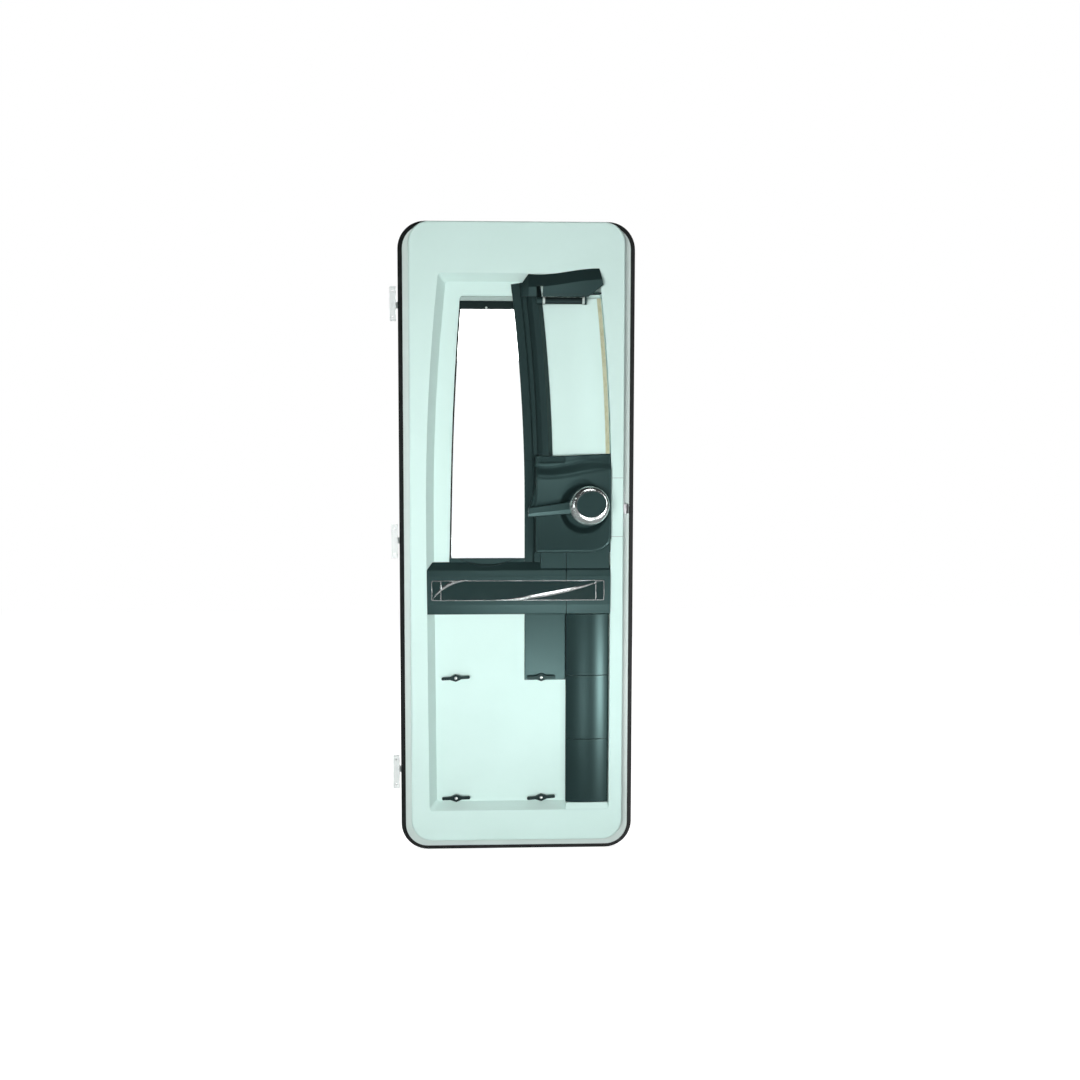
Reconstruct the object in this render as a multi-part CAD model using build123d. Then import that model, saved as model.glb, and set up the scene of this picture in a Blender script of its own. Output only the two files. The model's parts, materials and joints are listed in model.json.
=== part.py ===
"""Caravan entry door: insulated leaf with its inner trim, on three outside hinges.

Millimetres. X runs along the width, towards the lock. Z is up from the bottom of the seal.
Depth counts towards the room, which is -Y. Every solid is moved at the end, so that the
origin lies on the mounting face of the lower hinge block.
"""
import os

from build123d import *

# Leaf outline and its layers
LEAF_WIDTH = 640.0
LEAF_HEIGHT = 1720.0
LEAF_CORNER = 74.0
SEAL_SEAT = -3.0
FLANGE_THICKNESS = 12.0
SKIN_THICKNESS = 3.0
SKIN_EDGE_RADIUS = 2.0
LEDGE = 20.0
PROFILE_WIDTH = 30.0
SEAL_WIDTH = 13.0
SEAL_HEIGHT = 17.0
SEAL_ROUND = 5.0

# Inner liner with its shallow barrel-shaped recess
LINER_DEPTH = 24.0
LINER_WALL = 4.0
LINER_CORNER = 56.0
LINER_EDGE_RADIUS = 5.0
LINER_SIDE_MARGIN = 30.0
LINER_TOP_MARGIN = 6.0
LINER_BOTTOM_MARGIN = 33.0
RECESS_BOTTOM_MARGIN = 85.0
RECESS_TOP_MARGIN = 136.0
RECESS_CORNER = 9.0
WALL_RUN = 20.0
LOCK_WALL_RUN = 2.0
HINGE_SIDE_FOOT = 49.0
HINGE_SIDE_BELLY = 44.0
HINGE_SIDE_HEAD = 79.0
HINGE_SIDE_BELLY_Z = 900.0
LOCK_SIDE_FOOT = 37.0
LOCK_SIDE_BELLY = 35.0
LOCK_SIDE_HEAD = 70.0
LOCK_SIDE_BELLY_Z = 1000.0

# Clearances
SEAT_GAP = 0.3
FIT_GAP = 0.4
RUNNING_GAP = 0.05
SEAM = 1.0
OVERCUT = 1.0
NEAR = 0.01

# Pillar between the window and the umbrella channel
PILLAR_TO_LINER_EDGE = 269.0
PILLAR_LEAN = 37.0
PILLAR_KNEE = 960.0
PILLAR_HEAD_DROP = 27.0
PILLAR_FLANGE = 26.0
PILLAR_FLANGE_HEIGHT = 5.0
PILLAR_STEP_HEIGHT = 12.0
PILLAR_CREST_HEIGHT = 20.0
PILLAR_GROOVE = 38.0
PILLAR_CREST = 50.0
PILLAR_CREST_END = 66.0
PILLAR_WIDTH = 78.0
PILLAR_RIDGE_EASE = 4.0
PILLAR_GROOVE_HALF = 2.0
PILLAR_GROOVE_DEPTH = 3.0
PILLAR_SEAM_DROP = 13.0

# Window in the leaf, with its blind pulled up
WINDOW_TO_RECESS = 62.0
WINDOW_KNEE_Z = 1000.0
WINDOW_KNEE_SHIFT = 4.0
WINDOW_HEAD_SHIFT = 31.0
WINDOW_HEAD_DROP = 57.0
WINDOW_UNDER_PILLAR = 14.0
WINDOW_CORNER = 8.0
REVEAL_DEPTH = 12.0
FRAME_WALL = 4.0
FRAME_LIP = 4.0
FRAME_FLANGE = 20.0
FRAME_FLANGE_THICKNESS = 3.0
PANE_THICKNESS = 4.0
PANE_BEHIND_SKIN = 6.0
PANE_BITE = 4.0
CASSETTE_HEIGHT = 12.0
CASSETTE_THICKNESS = 8.0
BLIND_RAIL_HEIGHT = 22.0
BLIND_RAIL_THICKNESS = 8.0
BLIND_GROOVE_HEIGHT = 6.0
BLIND_GROOVE_DEPTH = 5.0
BLIND_KNOB_RADIUS = 3.0
BLIND_KNOB_LENGTH = 4.0
BLIND_KNOB_TO_PILLAR = 103.0

# Lock housing, its bowl and the inner handle
LOCK_BOTTOM = 831.0
LOCK_HEIGHT = 261.0
LOCK_TOP_RISE = 8.0
LOCK_FACE_HEIGHT = 34.0
LOCK_EDGE_HEIGHT = 24.0
LOCK_LIP_HEIGHT = 28.0
LOCK_SWELL = 3.0
LOCK_TROUGH_SHARE = 0.8
LOCK_SOFT_RADIUS = 10.0
LOCK_CREST_RADIUS = 20.0
LOCK_LIP_RADIUS = 4.0
LOCK_WALL = 4.0
LOCK_CORNER_WIDTH = 72.0
LOCK_CORNER_HEIGHT = 36.0
LOCK_DRAFT = 5.0
LOCK_FLARE = 18.0
LOCK_FLARE_HEIGHT = 130.0
LOCK_FLARE_BELLY = 5.0
LOCK_DECK_INSET = 9.0
LOCK_DECK_WIDTH = 72.0
LOCK_DECK_HEIGHT = 17.0
LOCK_DECK_DROP = 1.5
# Lip and ridge below the top edge, trough and crest off the face: left, before and on the handle, lock wall
LOCK_LIP_DROPS = (19.0, 18.0, 11.0, 33.0)
LOCK_RIDGE_DROPS = (53.0, 54.0, 46.0, 43.0)
LOCK_TROUGH_DEPTHS = (9.0, 9.0, 7.0, 4.5)
LOCK_CREST_RISES = (8.0, 8.0, 6.0, 0.5)
HANDLE_TO_LINER_EDGE = 98.0
HANDLE_Z = 959.0
BOWL_SHIFT_X = 12.0
BOWL_SHIFT_Z = 12.0
BOWL_RADIUS = 66.0
BOWL_FLOOR_RADIUS = 50.0
BOWL_DEPTH = 18.0
BOWL_RIM = 4.5
SPINDLE_RADIUS = 6.0
HUB_RADIUS = 30.0
HUB_LIFT = 6.0
ROSE_RADIUS = 45.0
ROSE_LIFT = 12.0
ROSE_THICKNESS = 15.0
RING_RADIUS = 53.5
RING_HEIGHT = 20.0
RING_FOOT = 5.0
RING_SHOULDER_IN = 4.0
RING_SHOULDER_UP = 13.0
RING_LIP = 1.4
CAP_RADIUS_WIDE = 39.5
CAP_RADIUS_TALL = 34.5
CAP_TURN = 12.0
CAP_SHIFT_X = 4.0
CAP_SHIFT_Z = 4.5
CAP_HEIGHT = 18.0
LEVER_LENGTH = 163.0
LEVER_ROOT = 45.0
LEVER_ROOT_HEIGHT = 36.0
LEVER_ROOT_DROP = 2.0
LEVER_TIP_HEIGHT = 25.0
LEVER_TIP_DROP = 18.0
LEVER_SAG = 2.0
LEVER_THICKNESS = 15.0
LEVER_TIP_THICKNESS = 11.0
LEVER_ROUND = 2.5
LEVER_BROW = 4.5
LEVER_CHIN = 2.5
LEVER_CREASE = 0.08

# Latch in the lock side of the leaf
ACCESS_COVER_BOTTOM = 873.0
ACCESS_COVER_HEIGHT = 160.0
ACCESS_GAP = 0.9
BOLT_Z = 948.0
BOLT_HEIGHT = 25.0
BOLT_THICKNESS = 11.0
BOLT_THROW = 11.0
BOLT_TAIL = 14.0
BOLT_NOSE_GAP = 2.0
BOLT_BEVEL = 6.6
CASE_HEIGHT = 86.0
CASE_LENGTH = 22.5
FACEPLATE_HEIGHT = 104.0
FACEPLATE_PROUD = 1.5

# Shelf bar across the recess, with its framed insert
BAR_BOTTOM = 662.0
BAR_FRONT_HEIGHT = 120.0
BAR_SLOPE_RISE = 21.0
BAR_UPSTAND = 6.0
BAR_DEPTH = 30.0
BAR_CHIN = 26.0
BAR_BROW = 15.0
BAR_EDGE_SETBACK = 5.0
BAR_EDGE_RADIUS = 2.5
SILL_RISE = 11.0
SILL_LAP = 8.0
SCOOP_WIDTH = 202.0
SCOOP_SAG = 26.0
SCOOP_SKIN = 2.0
SCOOP_FLARE = 9.0
INSERT_HEIGHT = 56.0
INSERT_BOTTOM = 38.0
INSERT_END_MARGIN = 13.0
INSERT_DEEP = 5.0
INSERT_CORNER = 5.0
BEZEL_WIDTH = 2.6
BEZEL_PROUD = 1.8
BEZEL_BEVEL = 0.9
DIVIDER_INSET = 25.0
SWEEP_WIDTH = 10.0
SWEEP_CREST = 1.5
SWEEP_LENGTH = 290.0
SWEEP_LOW_SHARE = 0.42
SHORT_SWEEP_LENGTH = 108.0

# Covered column under the bar, and the plain filler panel beside it
COLUMN_WIDTH = 116.5
COLUMN_SIDE_HEIGHT = 14.0
COLUMN_CROWN_HEIGHT = 25.0
COLUMN_WALL = 3.0
COLUMN_FOOT_LIFT = 1.0
COLUMN_SEAM_LOW = 315.0
COLUMN_SEAM_HIGH = 492.0
FILLER_PANEL_HEIGHT = 184.0
FILLER_PANEL_THICKNESS = 5.0
FILLER_PANEL_RADIUS = 2.0
STUB_WIDTH = 70.0
STUB_HEIGHT = 21.0

# Hood, hanging rail, umbrella channel and its bare bonding strip
HOOD_PROUD = 18.0
HOOD_BOTTOM_PROUD = 7.0
HOOD_WALL = 3.6
HOOD_LEFT = 9.0
HOOD_RIGHT_LEAN = 10.0
HOOD_WING = 19.0
HOOD_WING_DROP = 27.0
HOOD_WING_PROUD = 3.0
HOOD_CORNER = 30.0
HOOD_SOFFIT_LIFT = 8.0
# Heights over the recess's upper edge at the left, the middle, the right and the end
HOOD_TOPS = (-2.0, -1.0, 9.0, 13.0)
HOOD_FOLDS = (-38.0, -34.0, -24.0, -18.0)
HOOD_BOTTOM = -62.0
HOOD_SLOT_WIDTH = 17.0
HOOD_SLOT_HEIGHT = 26.0
RAIL_RADIUS = 9.0
RAIL_DROP = 72.0
RAIL_HEIGHT = 21.0
RAIL_LENGTH = 112.0
RAIL_BOSS_RADIUS = 10.5
RAIL_LUG_THICKNESS = 5.0
BUSH_LENGTH = 6.0
BUSH_WALL = 2.0
CHANNEL_WIDTH = 92.0
CHANNEL_LAND = 13.0
CHANNEL_LAND_HEIGHT = 21.0
CHANNEL_EDGE = 1.5
CHANNEL_TOP_DROP = 66.0
STRIP_WIDTH = 10.5
STRIP_THICKNESS = 1.2

# Wing hooks that carry the bin
HOOK_LENGTH = 78.0
HOOK_WING_WIDTH = 8.0
HOOK_WING_THICKNESS = 7.0
HOOK_HUB_RADIUS = 10.0
HOOK_HUB_HEIGHT = 16.0
HOOK_WEB_LENGTH = 16.0
HOOK_SCREW_RADIUS = 4.5
HOOK_SCREW_SEAT = 2.0
HOOK_NECK_RADIUS = 6.0
HOOK_FROM_FLOOR_EDGE = 58.0
HOOK_IN_PANEL = 45.5
HOOK_OVER_RECESS = 32.0
HOOK_OVER_PANEL_EDGE = 8.4
HOOK_TILTS = (1.8, 4.2, 3.6, 1.0)

# Outside handle and key cylinder
PULL_TO_EDGE = 75.0
PULL_Z = 950.0
PULL_PLATE_WIDTH = 62.0
PULL_PLATE_HEIGHT = 170.0
PULL_PLATE_THICKNESS = 4.0
PULL_PLATE_CORNER = 18.0
PULL_GRIP_HEIGHT = 118.0
PULL_GRIP_WIDTH = 24.0
PULL_GRIP_THICKNESS = 10.0
PULL_FINGER_GAP = 22.0
PULL_GRIP_RADIUS = 4.0
PULL_FOOT_HEIGHT = 14.0
KEY_RADIUS = 9.0
KEY_HEIGHT = 7.0
KEY_Z_SHIFT = 68.0
KEY_SLOT_WIDTH = 2.0
KEY_SLOT_LENGTH = 9.0

# Outside hinges
HINGE_LOW_Z = 220.0
HINGE_TOP_MARGIN = 220.0
HINGE_NAMES = ("lower", "middle", "upper")
HINGE_AXIS_GAP = 13.0
HINGE_AXIS_OUT = 6.0
KNUCKLE_RADIUS = 7.0
KNUCKLE_HEIGHT = 17.0
STRAP_KNUCKLE_HEIGHT = 18.0
PIN_RADIUS = 4.0
PIN_OVERHANG = 2.0
BLOCK_WIDTH = 17.0
BLOCK_HEIGHT = 92.0
BLOCK_PLATE = 8.0
BLOCK_HOLE_RADIUS = 2.6
BLOCK_HOLE_SPACING = 70.0
STRAP_PLATE_WIDTH = 46.0
STRAP_PLATE_HEIGHT = 60.0
STRAP_THICKNESS = 4.0
STRAP_INSET = 20.0
STRAP_CORNER = 6.0

# Places worked out from the sizes above
LEFT = -LEAF_WIDTH / 2
RIGHT = LEAF_WIDTH / 2
FLANGE_BACK = SEAL_SEAT - FLANGE_THICKNESS
SKIN_BACK = FLANGE_BACK - SKIN_THICKNESS
WALL_PLANE = SEAL_SEAT + SEAL_HEIGHT
FLOOR = LEDGE
FACE = LEDGE + LINER_DEPTH
SEAT = FLOOR + SEAT_GAP
LINER_LEFT = LEFT + LINER_SIDE_MARGIN
LINER_RIGHT = RIGHT - LINER_SIDE_MARGIN
LINER_BOTTOM = LINER_BOTTOM_MARGIN
LINER_TOP = LEAF_HEIGHT - LINER_TOP_MARGIN
RECESS_BOTTOM = LINER_BOTTOM + RECESS_BOTTOM_MARGIN
RECESS_TOP = LINER_TOP - RECESS_TOP_MARGIN
PILLAR_LEFT = LINER_RIGHT - PILLAR_TO_LINER_EDGE
PILLAR_TOP = RECESS_TOP - PILLAR_HEAD_DROP
BAR_FOLD = BAR_BOTTOM + BAR_FRONT_HEIGHT
BAR_TOP = BAR_FOLD + BAR_SLOPE_RISE
LOCK_TOP = LOCK_BOTTOM + LOCK_HEIGHT
LOCK_LEFT = PILLAR_LEFT + PILLAR_FLANGE + FIT_GAP
LOCK_FACE = FLOOR + LOCK_FACE_HEIGHT
REVEAL_BACK = FLOOR - LINER_WALL - REVEAL_DEPTH
HANDLE_X = LINER_RIGHT - HANDLE_TO_LINER_EDGE
BOWL_FLOOR = LOCK_FACE - BOWL_DEPTH
ROSE_BACK = LOCK_FACE + ROSE_LIFT
RING_BACK = ROSE_BACK + ROSE_THICKNESS
WINDOW_TOP = RECESS_TOP - WINDOW_HEAD_DROP
WINDOW_LEFT = LINER_LEFT + HINGE_SIDE_BELLY + WINDOW_TO_RECESS
WINDOW_FOOT = BAR_TOP + SILL_RISE - SILL_LAP
RAIL_Z = RECESS_TOP - RAIL_DROP
RAIL_DEPTH = FLOOR + RAIL_HEIGHT
COLUMN_RIGHT = LINER_RIGHT - LOCK_SIDE_FOOT - LOCK_WALL_RUN - FIT_GAP
COLUMN_LEFT = COLUMN_RIGHT - COLUMN_WIDTH
PANEL_BOTTOM = BAR_BOTTOM - SEAM - FILLER_PANEL_HEIGHT
LATCH_FRONT = FACE - LINER_WALL - LINER_EDGE_RADIUS
LATCH_DEPTH = (LEDGE + SEAT_GAP + LATCH_FRONT) / 2
HINGE_X = LEFT - HINGE_AXIS_GAP
HINGE_DEPTH = SKIN_BACK - HINGE_AXIS_OUT
HINGE_HIGH_Z = LEAF_HEIGHT - HINGE_TOP_MARGIN
HINGE_HEIGHTS = (HINGE_LOW_Z, (HINGE_LOW_Z + HINGE_HIGH_Z) / 2, HINGE_HIGH_Z)
ORIGIN = (HINGE_X, -WALL_PLANE, HINGE_LOW_Z)


def slab(sketch, back, front):
    """Raise a front-view sketch (x, z) between two depths."""
    return extrude(Plane.XZ.offset(back) * sketch, front - back, dir=(0, -1, 0))


def side_plane(x):
    """Plane across the width, drawn as (depth, z)."""
    return Plane(origin=(x, 0, 0), x_dir=(0, -1, 0), z_dir=(-1, 0, 0))


def level_plane(z):
    """Horizontal plane, drawn as (x, depth)."""
    return Plane(origin=(0, 0, z), x_dir=(1, 0, 0), z_dir=(0, 0, -1))


def along_x(section, left, right):
    return extrude(side_plane(left) * section, right - left, dir=(1, 0, 0))


def along_z(section, bottom, top):
    return extrude(level_plane(bottom) * section, top - bottom, dir=(0, 0, 1))


def outline(*points):
    return make_face(Polyline(*points, close=True))


def block(left, right, bottom, top):
    """Front-view rectangle given by its edges."""
    return Pos((left + right) / 2, (bottom + top) / 2) * Rectangle(right - left, top - bottom)


def disc(x, z, radius):
    return Pos(x, z) * Circle(radius)


def edges_at(solid, depth):
    """Edges of a solid that lie at one depth."""
    return solid.edges().filter_by(lambda edge: abs(edge.center().Y + depth) < NEAR)


def leaf_outline(inset):
    shape = RectangleRounded(LEAF_WIDTH - 2 * inset, LEAF_HEIGHT - 2 * inset, LEAF_CORNER - inset)
    return Pos(0, LEAF_HEIGHT / 2) * shape


def liner_outline(inset):
    width = LINER_RIGHT - LINER_LEFT - 2 * inset
    height = LINER_TOP - LINER_BOTTOM - 2 * inset
    shape = RectangleRounded(width, height, LINER_CORNER - inset)
    return Pos(0, (LINER_TOP + LINER_BOTTOM) / 2) * shape


def recess_outline(run, lock_run):
    """Barrel-shaped outline, drawn in by one run on three sides and by another at the lock."""
    bottom = RECESS_BOTTOM + run
    top = RECESS_TOP - run
    left_foot = (LINER_LEFT + HINGE_SIDE_FOOT + run, bottom)
    left_belly = (LINER_LEFT + HINGE_SIDE_BELLY + run, HINGE_SIDE_BELLY_Z)
    left_head = (LINER_LEFT + HINGE_SIDE_HEAD + run, top)
    right_foot = (LINER_RIGHT - LOCK_SIDE_FOOT - lock_run, bottom)
    right_belly = (LINER_RIGHT - LOCK_SIDE_BELLY - lock_run, LOCK_SIDE_BELLY_Z)
    right_head = (LINER_RIGHT - LOCK_SIDE_HEAD - lock_run, top)
    edges = (
        Line(left_foot, right_foot)
        + Line(right_foot, right_belly)
        + TangentArc(right_belly, right_head, tangent=Vector(*right_belly) - Vector(*right_foot))
        + Line(right_head, left_head)
        + TangentArc(left_belly, left_head, tangent=Vector(*left_belly) - Vector(*left_foot))
        + Line(left_belly, left_foot)
    )
    face = make_face(edges)
    corners = face.vertices().group_by(Axis.Y)[0] + face.vertices().group_by(Axis.Y)[-1]
    return fillet(corners, RECESS_CORNER)


def pocket(grow, back, front):
    """The recess as a solid: grown by a wall thickness, or drawn in by a negative one."""
    floor = Plane.XZ.offset(back) * recess_outline(WALL_RUN - grow, LOCK_WALL_RUN - grow)
    mouth = Plane.XZ.offset(front) * recess_outline(-grow, -grow)
    return loft([floor.face(), mouth.face()], ruled=True)


def recess_room():
    """All the room for trim in and over the recess, with a fitting gap at its walls."""
    over = slab(recess_outline(FIT_GAP, FIT_GAP), FACE, FACE + LINER_DEPTH)
    return pocket(-FIT_GAP, FLOOR, FACE) + over


def window_outline(grow):
    """Window opening: curved hinge side, and a lock side that runs under the pillar."""
    left = WINDOW_LEFT
    left_foot = (left, WINDOW_FOOT)
    left_knee = (left + WINDOW_KNEE_SHIFT, WINDOW_KNEE_Z)
    left_head = (left + WINDOW_HEAD_SHIFT, WINDOW_TOP)
    right = PILLAR_LEFT + WINDOW_UNDER_PILLAR
    right_foot = (right, WINDOW_FOOT)
    right_knee = (right, PILLAR_KNEE)
    right_head = (right - PILLAR_LEAN, WINDOW_TOP)
    edges = (
        Line(left_foot, right_foot)
        + Line(right_foot, right_knee)
        + TangentArc(right_knee, right_head, tangent=(0, 1))
        + Line(right_head, left_head)
        + TangentArc(left_knee, left_head, tangent=Vector(*left_knee) - Vector(*left_foot))
        + Line(left_knee, left_foot)
    )
    face = make_face(edges)
    corners = face.vertices().group_by(Axis.Y)[0] + face.vertices().group_by(Axis.Y)[-1]
    face = fillet(corners, WINDOW_CORNER)
    return offset(face, grow) if grow else face


def access_box(gap):
    """Region of the border that lifts off over the latch."""
    left = LINER_RIGHT - LOCK_SIDE_BELLY - LOCK_WALL_RUN - LINER_WALL + gap
    bottom = ACCESS_COVER_BOTTOM + gap
    top = ACCESS_COVER_BOTTOM + ACCESS_COVER_HEIGHT - gap
    return slab(block(left, RIGHT, bottom, top), FLOOR - LINER_WALL - OVERCUT, FACE + OVERCUT)


def bolt_box(gap):
    """Straight room of the latch bolt, with a gap all round it."""
    half_height = BOLT_HEIGHT / 2 + gap
    half_thickness = BOLT_THICKNESS / 2 + gap
    left = LINER_RIGHT - BOLT_TAIL - (BOLT_THROW + gap if gap else 0)
    area = block(left, RIGHT - SEAL_WIDTH - BOLT_NOSE_GAP, BOLT_Z - half_height, BOLT_Z + half_height)
    return slab(area, LATCH_DEPTH - half_thickness, LATCH_DEPTH + half_thickness)


def outer_skin():
    skin = slab(leaf_outline(0), SKIN_BACK, FLANGE_BACK)
    skin = fillet(edges_at(skin, SKIN_BACK), SKIN_EDGE_RADIUS)
    return skin - slab(window_outline(FRAME_WALL), SKIN_BACK - OVERCUT, FLANGE_BACK + OVERCUT)


def edge_profile():
    """Stepped aluminium frame: a flange behind the seal and a ledge under the liner."""
    frame = slab(leaf_outline(0), FLANGE_BACK, SEAL_SEAT) + slab(leaf_outline(SEAL_WIDTH), SEAL_SEAT, LEDGE)
    return frame - slab(leaf_outline(SEAL_WIDTH + PROFILE_WIDTH), FLANGE_BACK, LEDGE)


def perimeter_seal():
    seal = slab(leaf_outline(0), SEAL_SEAT, WALL_PLANE)
    seal = fillet(edges_at(seal, WALL_PLANE), SEAL_ROUND)
    return seal - slab(leaf_outline(SEAL_WIDTH), SEAL_SEAT - OVERCUT, WALL_PLANE + OVERCUT)


def liner_shell():
    """Moulded pan: a border that stands on the ledge and a recess with sloping walls."""
    border = slab(liner_outline(0), LEDGE, FACE)
    border = fillet(edges_at(border, FACE), LINER_EDGE_RADIUS)
    border -= slab(liner_outline(LINER_WALL), LEDGE, FACE - LINER_WALL)
    tub = pocket(LINER_WALL, FLOOR - LINER_WALL, FACE - LINER_WALL)
    return border + tub - pocket(0, FLOOR, FACE)


def window_cut(grow):
    return slab(window_outline(grow), SKIN_BACK - FRAME_FLANGE_THICKNESS - OVERCUT, FACE)


def inner_liner():
    """Liner with a return that lines the window's cut down to the gasket."""
    reveal = slab(window_outline(FRAME_WALL), REVEAL_BACK, FLOOR - LINER_WALL / 2)
    return liner_shell() + reveal - window_cut(0) - access_box(0)


def latch_room(gap):
    """Pocket that the latch case fills behind the access cover."""
    half = CASE_HEIGHT / 2 + gap
    right = LINER_RIGHT - LINER_WALL
    area = block(right - CASE_LENGTH - gap, right, BOLT_Z - half, BOLT_Z + half)
    return slab(area, LEDGE + SEAT_GAP - gap, FACE - LINER_WALL - SEAT_GAP + gap)


def faceplate(gap):
    half = FACEPLATE_HEIGHT / 2 + gap
    left = LINER_RIGHT - LINER_WALL
    area = block(left, LINER_RIGHT + FACEPLATE_PROUD, BOLT_Z - half, BOLT_Z + half)
    return slab(area, LEDGE + SEAT_GAP, LATCH_FRONT)


def lock_access_cover():
    return liner_shell() & access_box(ACCESS_GAP) - faceplate(FIT_GAP)


def foam_core():
    core = slab(leaf_outline(SEAL_WIDTH + PROFILE_WIDTH), FLANGE_BACK, LEDGE)
    core += slab(liner_outline(LINER_WALL), LEDGE, FACE - LINER_WALL)
    core -= pocket(LINER_WALL, FLOOR - LINER_WALL, FACE - LINER_WALL)
    return core - window_cut(FRAME_WALL) - latch_room(FIT_GAP) - faceplate(FIT_GAP)


def pane_slab(grow, thickness):
    front = SKIN_BACK + PANE_BEHIND_SKIN + PANE_THICKNESS / 2 + thickness / 2
    return slab(window_outline(grow), front - thickness, front)


def window_frame():
    """Window gasket: lines the cut, holds the pane in a groove and laps the outer skin."""
    ring = slab(window_outline(FRAME_WALL), SKIN_BACK, REVEAL_BACK - SEAT_GAP)
    ring += slab(window_outline(FRAME_FLANGE), SKIN_BACK - FRAME_FLANGE_THICKNESS, SKIN_BACK)
    ring -= window_cut(-FRAME_LIP)
    return ring - pane_slab(PANE_BITE - FRAME_LIP + SEAT_GAP, PANE_THICKNESS + 2 * SEAT_GAP)


def window_pane():
    return pane_slab(PANE_BITE - FRAME_LIP, PANE_THICKNESS)


def across_window(section):
    """Bar across the window in front of the gasket, trimmed to the liner's reveal."""
    return along_x(section, LINER_LEFT, LINER_RIGHT) & window_cut(-SEAT_GAP)


def blind_cassette():
    front = REVEAL_BACK + CASSETTE_THICKNESS
    return across_window(block(REVEAL_BACK, front, WINDOW_TOP - CASSETTE_HEIGHT, WINDOW_TOP))


def blind_rail():
    """Pull rail of the rolled-up blind, with a grip groove along its top."""
    top = WINDOW_TOP - CASSETTE_HEIGHT - SEAT_GAP
    front = REVEAL_BACK + BLIND_RAIL_THICKNESS
    groove = block(front - BLIND_GROOVE_DEPTH, front, top - BLIND_GROOVE_HEIGHT, top)
    return across_window(block(REVEAL_BACK, front, top - BLIND_RAIL_HEIGHT, top) - groove)


def blind_knob():
    """Small knob that catches the pull rail."""
    front = REVEAL_BACK + BLIND_RAIL_THICKNESS + SEAT_GAP
    z = WINDOW_TOP - CASSETTE_HEIGHT - SEAT_GAP - BLIND_RAIL_HEIGHT + BLIND_KNOB_RADIUS
    x = PILLAR_LEFT - BLIND_KNOB_TO_PILLAR
    return slab(disc(x, z, BLIND_KNOB_RADIUS), front, front + BLIND_KNOB_LENGTH)


def pillar_edge(offset, z):
    """Place of a line along the pillar, at one offset from its left edge and one height."""
    rise = PILLAR_TOP - PILLAR_KNEE
    bend = (rise ** 2 + PILLAR_LEAN ** 2) / (2 * PILLAR_LEAN)
    over = max(0.0, z - PILLAR_KNEE)
    return PILLAR_LEFT - bend + ((bend + offset) ** 2 - over ** 2) ** 0.5


def lock_top_line(gap):
    """Upper edge of the lock housing, moved up by a gap, as points."""
    middle = (LOCK_LEFT + HANDLE_X) / 2
    return [
        (LOCK_LEFT - gap, LOCK_TOP + gap),
        (middle, LOCK_TOP + gap),
        (LINER_RIGHT, LOCK_TOP + LOCK_TOP_RISE + gap),
    ]


def lock_room(gap, bottom):
    """Room of the lock housing down to one height, which the pieces around it give way to."""
    area = outline(*lock_top_line(gap), (LINER_RIGHT, bottom), (LOCK_LEFT - gap, bottom))
    return slab(area, FLOOR, FACE + LINER_DEPTH)


def pillar():
    """Ribbed column swept along the leaning side of the window."""
    flange = SEAT + PILLAR_FLANGE_HEIGHT
    step = SEAT + PILLAR_STEP_HEIGHT
    crest = SEAT + PILLAR_CREST_HEIGHT
    profile = [
        (0, SEAT),
        (0, flange),
        (PILLAR_FLANGE - PILLAR_RIDGE_EASE, flange),
        (PILLAR_FLANGE, step),
        (PILLAR_GROOVE - PILLAR_GROOVE_HALF, step),
        (PILLAR_GROOVE, step - PILLAR_GROOVE_DEPTH),
        (PILLAR_GROOVE + PILLAR_GROOVE_HALF, step),
        (PILLAR_CREST, crest),
        (PILLAR_CREST_END, crest),
        (PILLAR_WIDTH, flange),
        (PILLAR_WIDTH, SEAT),
    ]
    section = Pos(PILLAR_LEFT, 0) * outline(*profile)
    foot = BAR_TOP + FIT_GAP
    path = Line((PILLAR_LEFT, foot), (PILLAR_LEFT, PILLAR_KNEE))
    path += TangentArc((PILLAR_LEFT, PILLAR_KNEE), (PILLAR_LEFT - PILLAR_LEAN, PILLAR_TOP), tangent=(0, 1))
    column = sweep(level_plane(foot) * section, path=Plane.XZ * path) - lock_room(FIT_GAP, BAR_BOTTOM)
    seam = LOCK_TOP - PILLAR_SEAM_DROP
    column -= slab(block(PILLAR_LEFT - PILLAR_LEAN, LOCK_LEFT, seam, seam + SEAM), flange - SEAM, crest)
    boss = Pos(RAIL_DEPTH, RAIL_Z) * Circle(RAIL_BOSS_RADIUS)
    column += along_x(boss, rail_left() - HOOD_SLOT_WIDTH + SEAM, rail_left())
    return column & recess_room()


def rail_left():
    """Where the hanging rail leaves the pillar."""
    return pillar_edge(PILLAR_WIDTH, RAIL_Z)


def hanging_rail():
    rod = Pos(RAIL_DEPTH, RAIL_Z) * Circle(RAIL_RADIUS)
    left = rail_left() + SEAT_GAP
    return along_x(rod, left, left + RAIL_LENGTH)


def rail_bushes():
    ring = Circle(RAIL_RADIUS + BUSH_WALL) - Circle(RAIL_RADIUS + RUNNING_GAP)
    left = rail_left() + SEAT_GAP
    ends = (left, left + RAIL_LENGTH - BUSH_LENGTH)
    return [along_x(Pos(RAIL_DEPTH, RAIL_Z) * ring, start, start + BUSH_LENGTH) for start in ends]


def hood_section(x, top, fold, proud, bottom_proud, inset):
    """Canopy seen from the side: a slope out to the fold and a return below it."""
    back = FACE + SEAT_GAP
    section = outline(
        (back, RECESS_TOP + top - inset),
        (back + proud - inset, RECESS_TOP + fold),
        (back + bottom_proud - inset, RECESS_TOP + HOOD_BOTTOM),
        (back, RECESS_TOP + HOOD_BOTTOM),
    )
    return (side_plane(x) * section).face()


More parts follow.
